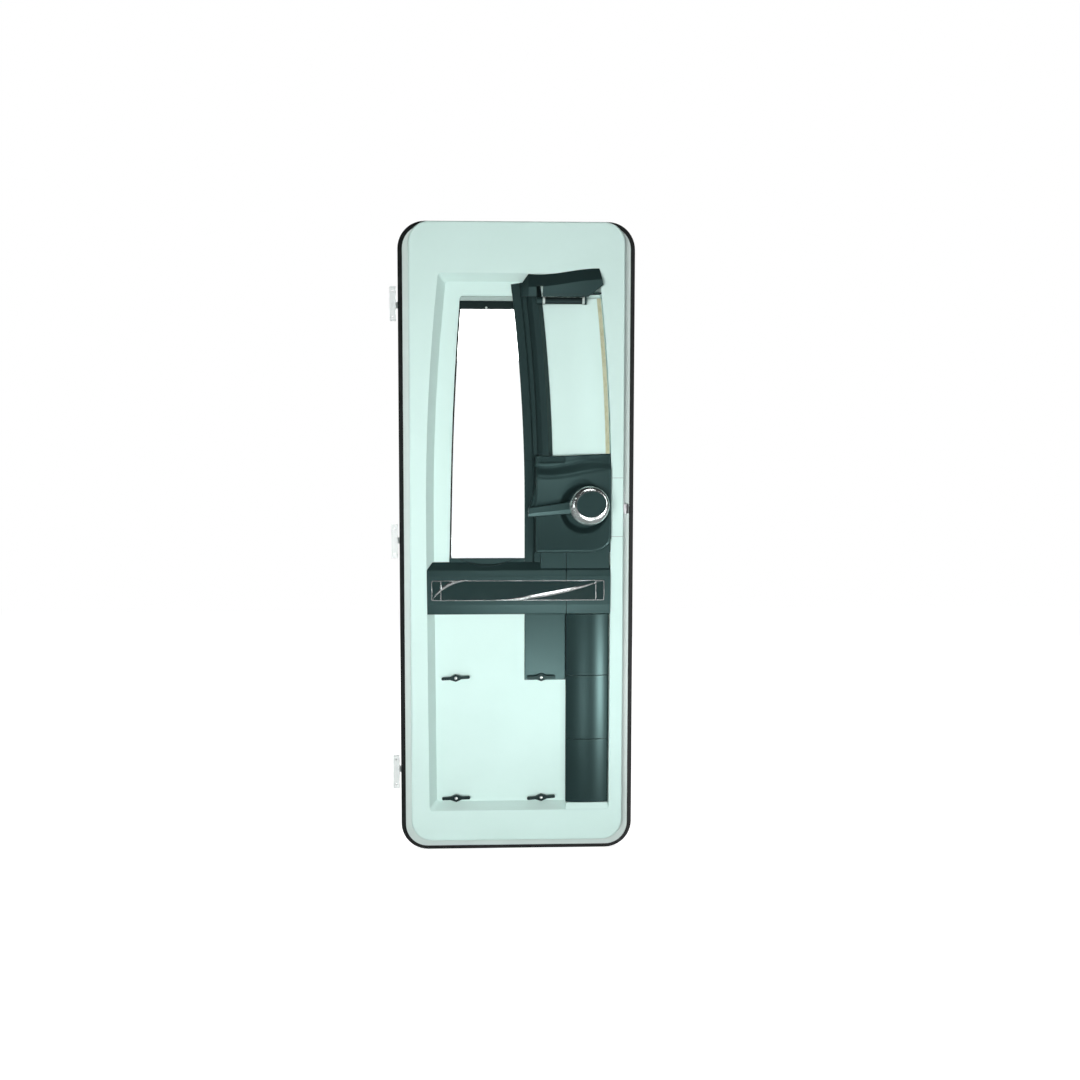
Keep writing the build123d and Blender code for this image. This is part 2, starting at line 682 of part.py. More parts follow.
def hood_body(inset):
    left = PILLAR_LEFT + HOOD_LEFT
    right = LINER_RIGHT - LOCK_SIDE_HEAD + HOOD_RIGHT_LEAN
    sections = []
    for step, (top, fold) in enumerate(zip(HOOD_TOPS, HOOD_FOLDS)):
        x = left + (right - left) * step / (len(HOOD_TOPS) - 1)
        sections.append(hood_section(x, top, fold, HOOD_PROUD, HOOD_BOTTOM_PROUD, inset))
    return loft(sections)


def hood_mask():
    """Front view of the canopy: its lock end leans, and its lower corner there is cut off."""
    left = PILLAR_LEFT + HOOD_LEFT - HOOD_WING
    right = LINER_RIGHT - LOCK_SIDE_HEAD
    bottom = RECESS_TOP + HOOD_BOTTOM
    area = outline(
        (left, bottom),
        (right - HOOD_CORNER, bottom),
        (right + HOOD_RIGHT_LEAN, bottom + HOOD_CORNER),
        (right, RECESS_TOP + HOOD_TOPS[-1]),
        (right, LEAF_HEIGHT),
        (left, LEAF_HEIGHT),
    )
    return slab(area, FLOOR, FACE + LINER_DEPTH)


def hood():
    """Moulded canopy over the hanging rail, hollow behind, with a soffit and a rail lug."""
    left = PILLAR_LEFT + HOOD_LEFT
    bottom = RECESS_TOP + HOOD_BOTTOM
    back = FACE + SEAT_GAP
    wing_top = HOOD_TOPS[0] - HOOD_WING_DROP
    wing_fold = HOOD_FOLDS[0] - HOOD_WING_DROP / 3
    wing_end = hood_section(left - HOOD_WING, wing_top, wing_fold, HOOD_WING_PROUD, HOOD_WING_PROUD, 0)
    wing_root = hood_section(left, HOOD_TOPS[0], HOOD_FOLDS[0], HOOD_PROUD, HOOD_BOTTOM_PROUD, 0)
    wing = loft([wing_end, wing_root], ruled=True)
    canopy = (hood_body(0) - hood_body(HOOD_WALL) + wing) & hood_mask()
    rail_start = rail_left()
    lug_left = rail_start + RAIL_LENGTH + 2 * SEAT_GAP
    soffit_bottom = bottom + HOOD_SOFFIT_LIFT
    soffit = block(rail_start + FIT_GAP, LINER_RIGHT, soffit_bottom, soffit_bottom + HOOD_WALL)
    canopy += slab(soffit, SEAT, back + HOOD_WALL / 2) & pocket(-FIT_GAP, FLOOR, back + HOOD_WALL)
    slot = block(rail_start - HOOD_SLOT_WIDTH, rail_start, bottom - OVERCUT, bottom + HOOD_SLOT_HEIGHT)
    canopy -= slab(slot, FLOOR, FACE + LINER_DEPTH)
    lug_top = soffit_bottom + HOOD_WALL
    lug = Pos(RAIL_DEPTH, RAIL_Z) * Circle(RAIL_BOSS_RADIUS)
    lug += block(RAIL_DEPTH - RAIL_BOSS_RADIUS, RAIL_DEPTH + RAIL_BOSS_RADIUS, RAIL_Z, lug_top)
    return canopy + along_x(lug, lug_left, lug_left + RAIL_LUG_THICKNESS)


def lock_wall(z):
    """Lock-side wall of the recess floor at one height."""
    head = LINER_RIGHT - LOCK_SIDE_HEAD
    belly = LINER_RIGHT - LOCK_SIDE_BELLY
    rise = max(0.0, (z - LOCK_SIDE_BELLY_Z) / (RECESS_TOP - LOCK_SIDE_BELLY_Z))
    return belly - (belly - head) * rise ** 2 - LOCK_WALL_RUN - FIT_GAP


def channel_stations():
    """Heights of the channel's sections, from under the lock housing's edge up to the hood."""
    bottom = LOCK_TOP - LOCK_TOP_RISE
    top = RECESS_TOP - CHANNEL_TOP_DROP
    return [bottom + (top - bottom) * step / 3 for step in range(4)]


def umbrella_channel():
    """Floor beside the pillar that coves up to the lock-side border, with a flat land."""
    sections = []
    for z in channel_stations():
        left = pillar_edge(PILLAR_WIDTH, z) + FIT_GAP
        right = lock_wall(z)
        base = SEAT + CHANNEL_EDGE
        land = FLOOR + CHANNEL_LAND_HEIGHT
        cove = (right - CHANNEL_WIDTH, base)
        edges = (
            Line((left, SEAT), (left, base))
            + Line((left, base), cove)
            + TangentArc(cove, (right - CHANNEL_LAND, land), tangent=(1, 0))
            + Line((right - CHANNEL_LAND, land), (right, land))
            + Line((right, land), (right, SEAT))
            + Line((right, SEAT), (left, SEAT))
        )
        sections.append((level_plane(z) * make_face(edges)).face())
    return (loft(sections) & recess_room()) - lock_room(FIT_GAP, BAR_BOTTOM)


def bonding_strip():
    """Bare strip of adhesive on the channel's land, where an edge trim is missing."""
    sections = []
    for z in channel_stations():
        base = FLOOR + CHANNEL_LAND_HEIGHT + SEAT_GAP
        middle = lock_wall(z) - CHANNEL_LAND / 2
        strip = Pos(middle, base + STRIP_THICKNESS / 2) * Rectangle(STRIP_WIDTH, STRIP_THICKNESS)
        sections.append((level_plane(z) * strip).face())
    return loft(sections) - lock_room(FIT_GAP, BAR_BOTTOM)


def lock_section(x, top, lip_drop, ridge_drop, trough_depth, crest_rise):
    """Side view of the housing: hollow face, ridge, trough and the lip under the top edge."""
    foot = (LOCK_FACE + LOCK_SWELL, LOCK_BOTTOM)
    ridge = (LOCK_FACE + crest_rise, top - ridge_drop)
    lip = (FLOOR + LOCK_LIP_HEIGHT, top - lip_drop)
    trough = (LOCK_FACE - trough_depth, ridge[1] + LOCK_TROUGH_SHARE * (lip[1] - ridge[1]))
    edge = (FLOOR + LOCK_EDGE_HEIGHT, top)
    section = make_face(
        Line((SEAT, LOCK_BOTTOM), foot)
        + ThreePointArc(foot, (LOCK_FACE, HANDLE_Z), ridge)
        + Line(ridge, trough)
        + Line(trough, lip)
        + Line(lip, edge)
        + Line(edge, (SEAT, top))
        + Line((SEAT, top), (SEAT, LOCK_BOTTOM))
    )
    corners = section.vertices().filter_by(lambda corner: corner.X > SEAT + NEAR).sort_by(Axis.Y)
    section = fillet(corners[:1], LOCK_LIP_RADIUS)
    crest = section.vertices().filter_by(lambda corner: abs(corner.Y - ridge[1]) < NEAR)
    section = fillet(crest, LOCK_CREST_RADIUS)
    hollow = section.vertices().filter_by(lambda corner: abs(corner.Y - trough[1]) < NEAR)
    return (side_plane(x) * fillet(hollow, LOCK_SOFT_RADIUS)).face()


def lock_housing():
    """Moulded cover: a ridge that sweeps up past the handle, and a round bowl behind it."""
    places = (LOCK_LEFT, (LOCK_LEFT + HANDLE_X) / 2, HANDLE_X, LINER_RIGHT - LOCK_SIDE_BELLY)
    tops = (LOCK_TOP, LOCK_TOP, LOCK_TOP + LOCK_TOP_RISE / 2, LOCK_TOP + LOCK_TOP_RISE)
    stations = zip(places, tops, LOCK_LIP_DROPS, LOCK_RIDGE_DROPS, LOCK_TROUGH_DEPTHS, LOCK_CREST_RISES)
    sections = [lock_section(*station) for station in stations]
    body = loft(sections)
    body = body & lock_room(0, LOCK_BOTTOM) & recess_room()
    body -= slab(lock_corner(0), FLOOR, FACE + LINER_DEPTH)
    hollow_right = lock_wall(LOCK_BOTTOM) - LOCK_CORNER_WIDTH
    hollow = block(LOCK_LEFT + LOCK_WALL, hollow_right, LOCK_BOTTOM + LOCK_WALL, LOCK_TOP - LOCK_WALL)
    body -= slab(hollow, FLOOR, BOWL_FLOOR - LOCK_WALL)
    deck_left = LOCK_LEFT + LOCK_DECK_INSET
    deck_right = deck_left + LOCK_DECK_WIDTH
    deck = block(deck_left, deck_right, LOCK_TOP - LOCK_DECK_HEIGHT, LOCK_TOP + LOCK_TOP_RISE)
    body -= slab(deck, FLOOR + LOCK_EDGE_HEIGHT - LOCK_DECK_DROP, FACE + LINER_DEPTH)
    body -= lock_draft()
    body += lock_flare()
    body -= lock_bowl()
    return body + slab(disc(HANDLE_X, HANDLE_Z, SPINDLE_RADIUS), BOWL_FLOOR - LOCK_WALL / 2, RING_BACK)


def lock_corner(gap):
    """Front view of the piece that the curve takes off the housing's lower corner."""
    right = lock_wall(LOCK_BOTTOM)
    top = LOCK_BOTTOM + LOCK_CORNER_HEIGHT
    left = right - LOCK_CORNER_WIDTH
    curve = Pos(left, top) * Ellipse(LOCK_CORNER_WIDTH + gap, LOCK_CORNER_HEIGHT + gap)
    return block(left, LINER_RIGHT, LOCK_BOTTOM, top) - curve


def lock_draft():
    """Wedge off the housing's left edge, over the pillar's flange."""
    foot = SEAT + PILLAR_STEP_HEIGHT
    over = LOCK_FACE + max(LOCK_CREST_RISES) + OVERCUT
    outside = LOCK_LEFT - OVERCUT
    section = outline((LOCK_LEFT, foot), (LOCK_LEFT + LOCK_DRAFT, over), (outside, over), (outside, foot))
    return along_z(section, LOCK_BOTTOM - OVERCUT, LOCK_TOP + LOCK_TOP_RISE)


def lock_flare():
    """Side of the housing that runs out under the tip of the lever."""
    tip = (LOCK_LEFT - LOCK_FLARE, HANDLE_Z - LEVER_TIP_DROP)
    root = LOCK_LEFT + 2 * LOCK_DRAFT
    top = (root, tip[1] + LOCK_FLARE_HEIGHT)
    bottom = (root, tip[1] - LEVER_TIP_HEIGHT / 2)
    middle = (LOCK_LEFT - LOCK_FLARE_BELLY, tip[1] + LOCK_FLARE_HEIGHT / 3)
    area = make_face(ThreePointArc(top, middle, tip) + Line(tip, bottom) + Line(bottom, top))
    return slab(area, SEAT + PILLAR_STEP_HEIGHT + SEAT_GAP, LOCK_FACE - LOCK_LIP_RADIUS)


def lock_bowl():
    """Round dish around the handle, with a bevelled rim."""
    over = max(LOCK_CREST_RISES)
    profile = outline(
        (0, 0),
        (BOWL_FLOOR_RADIUS, 0),
        (BOWL_RADIUS - BOWL_RIM, BOWL_DEPTH - BOWL_RIM),
        (BOWL_RADIUS + over, BOWL_DEPTH + over),
        (0, BOWL_DEPTH + over),
    )
    dish = revolve(Plane.XZ * profile, Axis.Z)
    return Pos(HANDLE_X - BOWL_SHIFT_X, -BOWL_FLOOR, HANDLE_Z - BOWL_SHIFT_Z) * Rot(90, 0, 0) * dish


def lever_section(x, drop, height, thickness):
    """Side view of the lever: a crease in front, with a wide brow over it and a steep chin."""
    middle = HANDLE_Z - drop
    back = ROSE_BACK + (LEVER_THICKNESS - thickness) / 2
    front = back + thickness
    section = outline(
        (back, middle - height / 2),
        (front - LEVER_CHIN, middle - height / 2),
        (front, middle - LEVER_CREASE * height),
        (front - LEVER_BROW, middle + height / 2),
        (back, middle + height / 2),
    )
    return (side_plane(x) * fillet(section.vertices(), LEVER_ROUND)).face()


def handle_lever():
    """Hub, rose and the drooping lever of the inner handle, in one moulding."""
    hub = slab(disc(HANDLE_X, HANDLE_Z, HUB_RADIUS), BOWL_FLOOR + HUB_LIFT, ROSE_BACK)
    rose = slab(disc(HANDLE_X, HANDLE_Z, ROSE_RADIUS), ROSE_BACK, RING_BACK)
    arm = loft(
        [
            lever_section(HANDLE_X - LEVER_LENGTH, LEVER_TIP_DROP, LEVER_TIP_HEIGHT, LEVER_TIP_THICKNESS),
            lever_section(
                HANDLE_X - (LEVER_LENGTH + LEVER_ROOT) / 2,
                (LEVER_TIP_DROP + LEVER_ROOT_DROP) / 2 + LEVER_SAG,
                (LEVER_TIP_HEIGHT + LEVER_ROOT_HEIGHT) / 2 - LEVER_SAG,
                (LEVER_TIP_THICKNESS + LEVER_THICKNESS) / 2,
            ),
            lever_section(HANDLE_X - LEVER_ROOT / 2, LEVER_ROOT_DROP, LEVER_ROOT_HEIGHT, LEVER_THICKNESS),
        ]
    )
    bore = slab(disc(HANDLE_X, HANDLE_Z, SPINDLE_RADIUS + RUNNING_GAP), FLOOR, RING_BACK + SEAT_GAP)
    return hub + rose + arm - bore


def cap_outline(grow):
    """Front view of the oval cap, which sits off the ring's centre."""
    oval = Rot(0, 0, CAP_TURN) * Ellipse(CAP_RADIUS_WIDE + grow, CAP_RADIUS_TALL + grow)
    return Pos(HANDLE_X + CAP_SHIFT_X, HANDLE_Z + CAP_SHIFT_Z) * oval


def handle_ring():
    """Bright ring that closes in from a round foot to the oval cap."""
    back = RING_BACK + SEAT_GAP
    shoulder = disc(HANDLE_X + CAP_SHIFT_X / 2, HANDLE_Z + CAP_SHIFT_Z / 2, RING_RADIUS - RING_SHOULDER_IN)
    steps = (
        (RING_FOOT, disc(HANDLE_X, HANDLE_Z, RING_RADIUS)),
        (RING_SHOULDER_UP, shoulder),
        (RING_HEIGHT, cap_outline(RING_LIP)),
    )
    ring = loft([(Plane.XZ.offset(back + height) * shape).face() for height, shape in steps])
    ring += slab(disc(HANDLE_X, HANDLE_Z, RING_RADIUS), back, back + RING_FOOT)
    return ring - slab(cap_outline(0), back, back + RING_HEIGHT)


def handle_cap():
    return slab(cap_outline(-SEAT_GAP), RING_BACK + SEAT_GAP, RING_BACK + CAP_HEIGHT)


def latch_case():
    return latch_room(0) + faceplate(0) - bolt_box(FIT_GAP)


def latch_bolt():
    """Spring-bolt with a bevelled nose."""
    bolt = bolt_box(0)
    nose = bolt.edges().filter_by(Axis.Z).group_by(Axis.X)[-1].sort_by(Axis.Y)[:1]
    return chamfer(nose, BOLT_BEVEL)


def bar_profile():
    """Side view of the bar: chin, front, brow and a slope up to a low upstand."""
    front = SEAT + BAR_DEPTH
    edge = front - BAR_EDGE_SETBACK
    section = outline(
        (SEAT, BAR_BOTTOM),
        (edge, BAR_BOTTOM),
        (front, BAR_BOTTOM + BAR_CHIN),
        (front, BAR_FOLD - BAR_BROW),
        (edge, BAR_FOLD),
        (SEAT + BAR_UPSTAND, BAR_TOP),
        (SEAT, BAR_TOP),
    )
    raised = section.vertices().filter_by(lambda corner: corner.X > SEAT + NEAR)
    return fillet(raised, BAR_EDGE_RADIUS)


def insert_slab(inset, back, front):
    left = LINER_LEFT + HINGE_SIDE_BELLY + INSERT_END_MARGIN + inset
    right = COLUMN_RIGHT - INSERT_END_MARGIN - inset
    bottom = BAR_BOTTOM + INSERT_BOTTOM + inset
    top = bottom + INSERT_HEIGHT - 2 * inset
    middle = Pos((left + right) / 2, (bottom + top) / 2)
    return slab(middle * RectangleRounded(right - left, top - bottom, INSERT_CORNER - inset), back, front)


def bar_body():
    """Whole bar from wall to wall, with the scoop under the window and the insert's seat."""
    bar = along_x(bar_profile(), LINER_LEFT, LINER_RIGHT) & recess_room()
    sill_top = BAR_TOP + SILL_RISE
    sill = block(WINDOW_LEFT, PILLAR_LEFT - FIT_GAP, BAR_FOLD, sill_top)
    bar += slab(sill, SEAT, SEAT + BAR_UPSTAND)
    radius = ((SCOOP_WIDTH / 2) ** 2 + SCOOP_SAG ** 2) / (2 * SCOOP_SAG)
    front = SEAT + BAR_DEPTH
    place = Pos(PILLAR_LEFT - SCOOP_WIDTH / 2, sill_top - SCOOP_SAG + radius)
    dish = loft(
        [
            (Plane.XZ.offset(SEAT + SCOOP_SKIN) * place * Circle(radius - SCOOP_FLARE)).face(),
            (Plane.XZ.offset(front) * place * Circle(radius)).face(),
        ],
        ruled=True,
    )
    return bar - dish - insert_slab(0, front - INSERT_DEEP, front + OVERCUT)


def shelf_bar():
    return bar_body() & slab(block(LEFT, COLUMN_LEFT - SEAM / 2, 0, LEAF_HEIGHT), FLOOR, FACE + LINER_DEPTH)


def bar_end_cover():
    return bar_body() & slab(block(COLUMN_LEFT + SEAM / 2, RIGHT, 0, LEAF_HEIGHT), FLOOR, FACE + LINER_DEPTH)


def bar_insert():
    back = SEAT + BAR_DEPTH - INSERT_DEEP + SEAT_GAP
    return insert_slab(BEZEL_WIDTH + SEAT_GAP, back, SEAT + BAR_DEPTH - SEAT_GAP)


def blade(start, middle, end, width):
    """Front view of a strip along an arc: pointed at both ends and full in its middle."""
    upper = (middle[0], middle[1] + width / 2)
    lower = (middle[0], middle[1] - width / 2)
    return make_face(ThreePointArc(start, upper, end) + ThreePointArc(end, lower, start))


def sweep_strip(start, middle, end):
    """Bright strip on the insert that rises to a narrow crest."""
    foot = Plane.XZ.offset(SEAT + BAR_DEPTH) * blade(start, middle, end, SWEEP_WIDTH)
    crest = Plane.XZ.offset(SEAT + BAR_DEPTH + BEZEL_PROUD) * blade(start, middle, end, SWEEP_CREST)
    return loft([foot.face(), crest.face()])


def chrome_bezel():
    """Bright frame of the insert, with two dividers and two strips that sweep between its edges."""
    back = SEAT + BAR_DEPTH - INSERT_DEEP + SEAT_GAP
    front = SEAT + BAR_DEPTH + BEZEL_PROUD
    frame = insert_slab(SEAT_GAP, back, front) - insert_slab(BEZEL_WIDTH, back, front)
    frame = chamfer(edges_at(frame, front), BEZEL_BEVEL)
    left = LINER_LEFT + HINGE_SIDE_BELLY + INSERT_END_MARGIN
    right = COLUMN_RIGHT - INSERT_END_MARGIN
    low = BAR_BOTTOM + INSERT_BOTTOM + BEZEL_WIDTH / 2
    high = BAR_BOTTOM + INSERT_BOTTOM + INSERT_HEIGHT - BEZEL_WIDTH / 2
    rise = high - low
    for x in (left + DIVIDER_INSET, right - DIVIDER_INSET):
        divider = slab(block(x, x + BEZEL_WIDTH, low, high), SEAT + BAR_DEPTH, front)
        frame += chamfer(edges_at(divider, front), BEZEL_BEVEL)
    long_sweep = sweep_strip(
        (right - SWEEP_LENGTH, low),
        (right - SWEEP_LENGTH * SWEEP_LOW_SHARE, low + rise * SWEEP_LOW_SHARE),
        (right - BEZEL_WIDTH, high),
    )
    short_sweep = sweep_strip(
        (left + BEZEL_WIDTH, low),
        (left + SHORT_SWEEP_LENGTH * SWEEP_LOW_SHARE, high - rise * SWEEP_LOW_SHARE / 2),
        (left + SHORT_SWEEP_LENGTH, high),
    )
    return frame + long_sweep + short_sweep


def column_section():
    """Arched cover of the column, open at the back."""
    def arch(inset):
        left = COLUMN_LEFT + inset
        right = COLUMN_RIGHT - inset
        side = SEAT + COLUMN_SIDE_HEIGHT - inset / 2
        crown = SEAT + COLUMN_CROWN_HEIGHT - inset
        base = SEAT if inset == 0 else FLOOR
        return make_face(
            Line((left, base), (left, side))
            + ThreePointArc((left, side), ((left + right) / 2, crown), (right, side))
            + Line((right, side), (right, base))
            + Line((right, base), (left, base))
        )
    return arch(0) - arch(COLUMN_WALL)


def column_cover(bottom, top):
    return along_z(column_section(), bottom, top) & recess_room()


def column_foot():
    """Pale end piece that closes the column over the sloping lower wall."""
    area = block(COLUMN_LEFT, COLUMN_RIGHT, RECESS_BOTTOM, RECESS_BOTTOM + WALL_RUN - SEAM)
    return slab(area, SEAT, FACE - COLUMN_FOOT_LIFT) & recess_room()


def filler_panel():
    """Plain panel under the bar, cut out round the necks of the hooks that pass it."""
    front = SEAT + FILLER_PANEL_THICKNESS
    area = block(PILLAR_LEFT, COLUMN_LEFT - FIT_GAP, PANEL_BOTTOM, BAR_BOTTOM - SEAM)
    panel = slab(area, SEAT, front)
    panel = fillet(edges_at(panel, front), FILLER_PANEL_RADIUS)
    for x, z in hook_places():
        panel -= slab(disc(x, z, HOOK_NECK_RADIUS + FIT_GAP), FLOOR, FACE)
    return panel


def stub_profile():
    """Side view of the covers between the bar's slope and the lock housing."""
    slope = BAR_SLOPE_RISE / (BAR_DEPTH - BAR_EDGE_SETBACK - BAR_UPSTAND)
    top = LOCK_BOTTOM - FIT_GAP
    foot = BAR_TOP + FIT_GAP
    return outline(
        (SEAT, foot),
        (SEAT + BAR_UPSTAND + FIT_GAP, foot),
        (SEAT + STUB_HEIGHT, foot - slope * (STUB_HEIGHT - BAR_UPSTAND - FIT_GAP)),
        (SEAT + STUB_HEIGHT, top),
        (SEAT, top),
    )


def stub_cover(left, right):
    return along_x(stub_profile(), left, right)


def stub_cover_left():
    """Left cover, with a low tongue that runs on to the pillar's flange."""
    left = COLUMN_LEFT - STUB_WIDTH
    tongue = block(SEAT, SEAT + BAR_UPSTAND, BAR_TOP + FIT_GAP, LOCK_BOTTOM - FIT_GAP)
    return stub_cover(left, COLUMN_LEFT - SEAM / 2) + along_x(tongue, LOCK_LEFT, left)


def stub_cover_right():
    """Right cover, which fills the housing's curved lower corner as well."""
    cover = stub_cover(COLUMN_LEFT + SEAM / 2, COLUMN_RIGHT)
    link = block(COLUMN_RIGHT - LOCK_CORNER_WIDTH / 2, COLUMN_RIGHT, BAR_TOP + SEAM, LOCK_BOTTOM)
    corner = slab(lock_corner(FIT_GAP) + link, SEAT, SEAT + STUB_HEIGHT)
    return cover + (corner & recess_room())


def hook(x, z, tilt):
    """Wing hook: a necked hub with a tapered bar across its head and a seat for one screw."""
    top = SEAT + HOOK_HUB_HEIGHT
    web = outline(
        (0, HOOK_HUB_RADIUS),
        (HOOK_WEB_LENGTH, HOOK_WING_WIDTH / 2),
        (HOOK_WEB_LENGTH, -HOOK_WING_WIDTH / 2),
        (0, -HOOK_HUB_RADIUS),
        (-HOOK_WEB_LENGTH, -HOOK_WING_WIDTH / 2),
        (-HOOK_WEB_LENGTH, HOOK_WING_WIDTH / 2),
    )
    head = slab(web + SlotOverall(HOOK_LENGTH, HOOK_WING_WIDTH), top - HOOK_WING_THICKNESS, top)
    head -= slab(Circle(HOOK_SCREW_RADIUS), top - HOOK_SCREW_SEAT, top)
    neck = slab(Circle(HOOK_NECK_RADIUS), SEAT, top - HOOK_WING_THICKNESS)
    return Pos(x, 0, z) * Rot(0, -tilt, 0) * (head + neck)


def hook_places():
    columns = (LINER_LEFT + HINGE_SIDE_BELLY + WALL_RUN + HOOK_FROM_FLOOR_EDGE, PILLAR_LEFT + HOOK_IN_PANEL)
    rows = (RECESS_BOTTOM + HOOK_OVER_RECESS, PANEL_BOTTOM + HOOK_OVER_PANEL_EDGE)
    return [(x, z) for z in rows for x in columns]


def bin_hooks():
    return [hook(x, z, tilt) for (x, z), tilt in zip(hook_places(), HOOK_TILTS)]


def pull_place():
    return RIGHT - PULL_TO_EDGE


def outer_pull_plate():
    shape = RectangleRounded(PULL_PLATE_WIDTH, PULL_PLATE_HEIGHT, PULL_PLATE_CORNER)
    return slab(Pos(pull_place(), PULL_Z) * shape, SKIN_BACK - PULL_PLATE_THICKNESS, SKIN_BACK)


def outer_pull_grip():
    """Bow handle on the outside, with room for fingers behind it."""
    back = SKIN_BACK - PULL_PLATE_THICKNESS
    outer = back - PULL_FINGER_GAP - PULL_GRIP_THICKNESS
    half = PULL_GRIP_HEIGHT / 2
    bow = outline(
        (back, PULL_Z - half),
        (outer, PULL_Z - half + PULL_FINGER_GAP),
        (outer, PULL_Z + half - PULL_FINGER_GAP),
        (back, PULL_Z + half),
        (back, PULL_Z + half - PULL_FOOT_HEIGHT),
        (outer + PULL_GRIP_THICKNESS, PULL_Z + half - PULL_FINGER_GAP - PULL_FOOT_HEIGHT / 2),
        (outer + PULL_GRIP_THICKNESS, PULL_Z - half + PULL_FINGER_GAP + PULL_FOOT_HEIGHT / 2),
        (back, PULL_Z - half + PULL_FOOT_HEIGHT),
    )
    grip = along_x(bow, pull_place() - PULL_GRIP_WIDTH / 2, pull_place() + PULL_GRIP_WIDTH / 2)
    return fillet(edges_at(grip, outer), PULL_GRIP_RADIUS)


def key_cylinder():
    z = PULL_Z - KEY_Z_SHIFT
    back = SKIN_BACK - PULL_PLATE_THICKNESS
    barrel = slab(disc(pull_place(), z, KEY_RADIUS), back - KEY_HEIGHT, back)
    slot = Pos(pull_place(), z) * Rectangle(KEY_SLOT_WIDTH, KEY_SLOT_LENGTH)
    return barrel - slab(slot, back - KEY_HEIGHT - OVERCUT, back - KEY_HEIGHT / 2)


def hinge_block(z):
    """Wall side of a hinge: a screw plate with two lugs that hold the pin."""
    half = BLOCK_HEIGHT / 2
    area = block(HINGE_X - BLOCK_WIDTH / 2, HINGE_X + BLOCK_WIDTH / 2, z - half, z + half)
    plate = slab(area, WALL_PLANE - BLOCK_PLATE, WALL_PLANE)
    lug = Pos(HINGE_X, HINGE_DEPTH) * Circle(KNUCKLE_RADIUS)
    lug += outline(
        (HINGE_X - KNUCKLE_RADIUS, HINGE_DEPTH),
        (HINGE_X + KNUCKLE_RADIUS, HINGE_DEPTH),
        (HINGE_X + KNUCKLE_RADIUS, WALL_PLANE - BLOCK_PLATE),
        (HINGE_X - KNUCKLE_RADIUS, WALL_PLANE - BLOCK_PLATE),
    )
    lug -= Pos(HINGE_X, HINGE_DEPTH) * Circle(PIN_RADIUS + RUNNING_GAP)
    inner = STRAP_KNUCKLE_HEIGHT / 2
    solid = plate + along_z(lug, z - inner - KNUCKLE_HEIGHT, z - inner)
    solid += along_z(lug, z + inner, z + inner + KNUCKLE_HEIGHT)
    for side in (-1, 1):
        hole = disc(HINGE_X, z + side * BLOCK_HOLE_SPACING / 2, BLOCK_HOLE_RADIUS)
        solid -= slab(hole, WALL_PLANE - BLOCK_PLATE - OVERCUT, WALL_PLANE + OVERCUT)
    return solid


def hinge_strap(z):
    """Leaf side of a hinge: a plate on the outer skin and an arm to the middle knuckle."""
    half = STRAP_KNUCKLE_HEIGHT / 2 - SEAT_GAP
    front = SKIN_BACK
    back = SKIN_BACK - STRAP_THICKNESS
    left = LEFT + STRAP_INSET
    shape = RectangleRounded(STRAP_PLATE_WIDTH, STRAP_PLATE_HEIGHT, STRAP_CORNER)
    strap = slab(Pos(left + STRAP_PLATE_WIDTH / 2, z) * shape, back, front)
    strap += slab(block(HINGE_X, left + STRAP_CORNER, z - half, z + half), back, front)
    knuckle = Pos(HINGE_X, HINGE_DEPTH) * Circle(KNUCKLE_RADIUS)
    strap += along_z(knuckle, z - half, z + half)
    bore = Pos(HINGE_X, HINGE_DEPTH) * Circle(PIN_RADIUS + RUNNING_GAP)
    return strap - along_z(bore, z - half - OVERCUT, z + half + OVERCUT)


def hinge_pins():
    half = STRAP_KNUCKLE_HEIGHT / 2 + KNUCKLE_HEIGHT + PIN_OVERHANG
    pin = Pos(HINGE_X, HINGE_DEPTH) * Circle(PIN_RADIUS)
    return [along_z(pin, z - half, z + half) for z in HINGE_HEIGHTS]


def solids():
    pieces = {
        "outer_skin": outer_skin(),
        "edge_profile": edge_profile(),
        "perimeter_seal": perimeter_seal(),
        "foam_core": foam_core(),
        "inner_liner": inner_liner(),
        "lock_access_cover": lock_access_cover(),
        "window_frame": window_frame(),
        "window_pane": window_pane(),
        "blind_cassette": blind_cassette(),
        "blind_rail": blind_rail(),
        "blind_knob": blind_knob(),
        "pillar": pillar(),
        "hood": hood(),
        "hanging_rail": hanging_rail(),
        "rail_bushes": rail_bushes(),
        "umbrella_channel": umbrella_channel(),
        "bonding_strip": bonding_strip(),
        "lock_housing": lock_housing(),
        "handle_lever": handle_lever(),
        "handle_ring": handle_ring(),
        "handle_cap": handle_cap(),
        "latch_case": latch_case(),
        "latch_bolt": latch_bolt(),
        "shelf_bar": shelf_bar(),
        "bar_end_cover": bar_end_cover(),
        "bar_insert": bar_insert(),
        "chrome_bezel": chrome_bezel(),
        "column_cover_lower": column_cover(RECESS_BOTTOM + WALL_RUN, COLUMN_SEAM_LOW - SEAM / 2),
        "column_cover_middle": column_cover(COLUMN_SEAM_LOW + SEAM / 2, COLUMN_SEAM_HIGH - SEAM / 2),
        "column_cover_upper": column_cover(COLUMN_SEAM_HIGH + SEAM / 2, BAR_BOTTOM - SEAM),
        "column_foot": column_foot(),
        "filler_panel": filler_panel(),
        "stub_cover_left": stub_cover_left(),
        "stub_cover_right": stub_cover_right(),
        "bin_hooks": bin_hooks(),
        "outer_pull_plate": outer_pull_plate(),
        "outer_pull_grip": outer_pull_grip(),
        "key_cylinder": key_cylinder(),
        "hinge_pins": hinge_pins(),
    }
    for name, z in zip(HINGE_NAMES, HINGE_HEIGHTS):
        pieces[f"hinge_block_{name}"] = hinge_block(z)
        pieces[f"hinge_strap_{name}"] = hinge_strap(z)
    return pieces


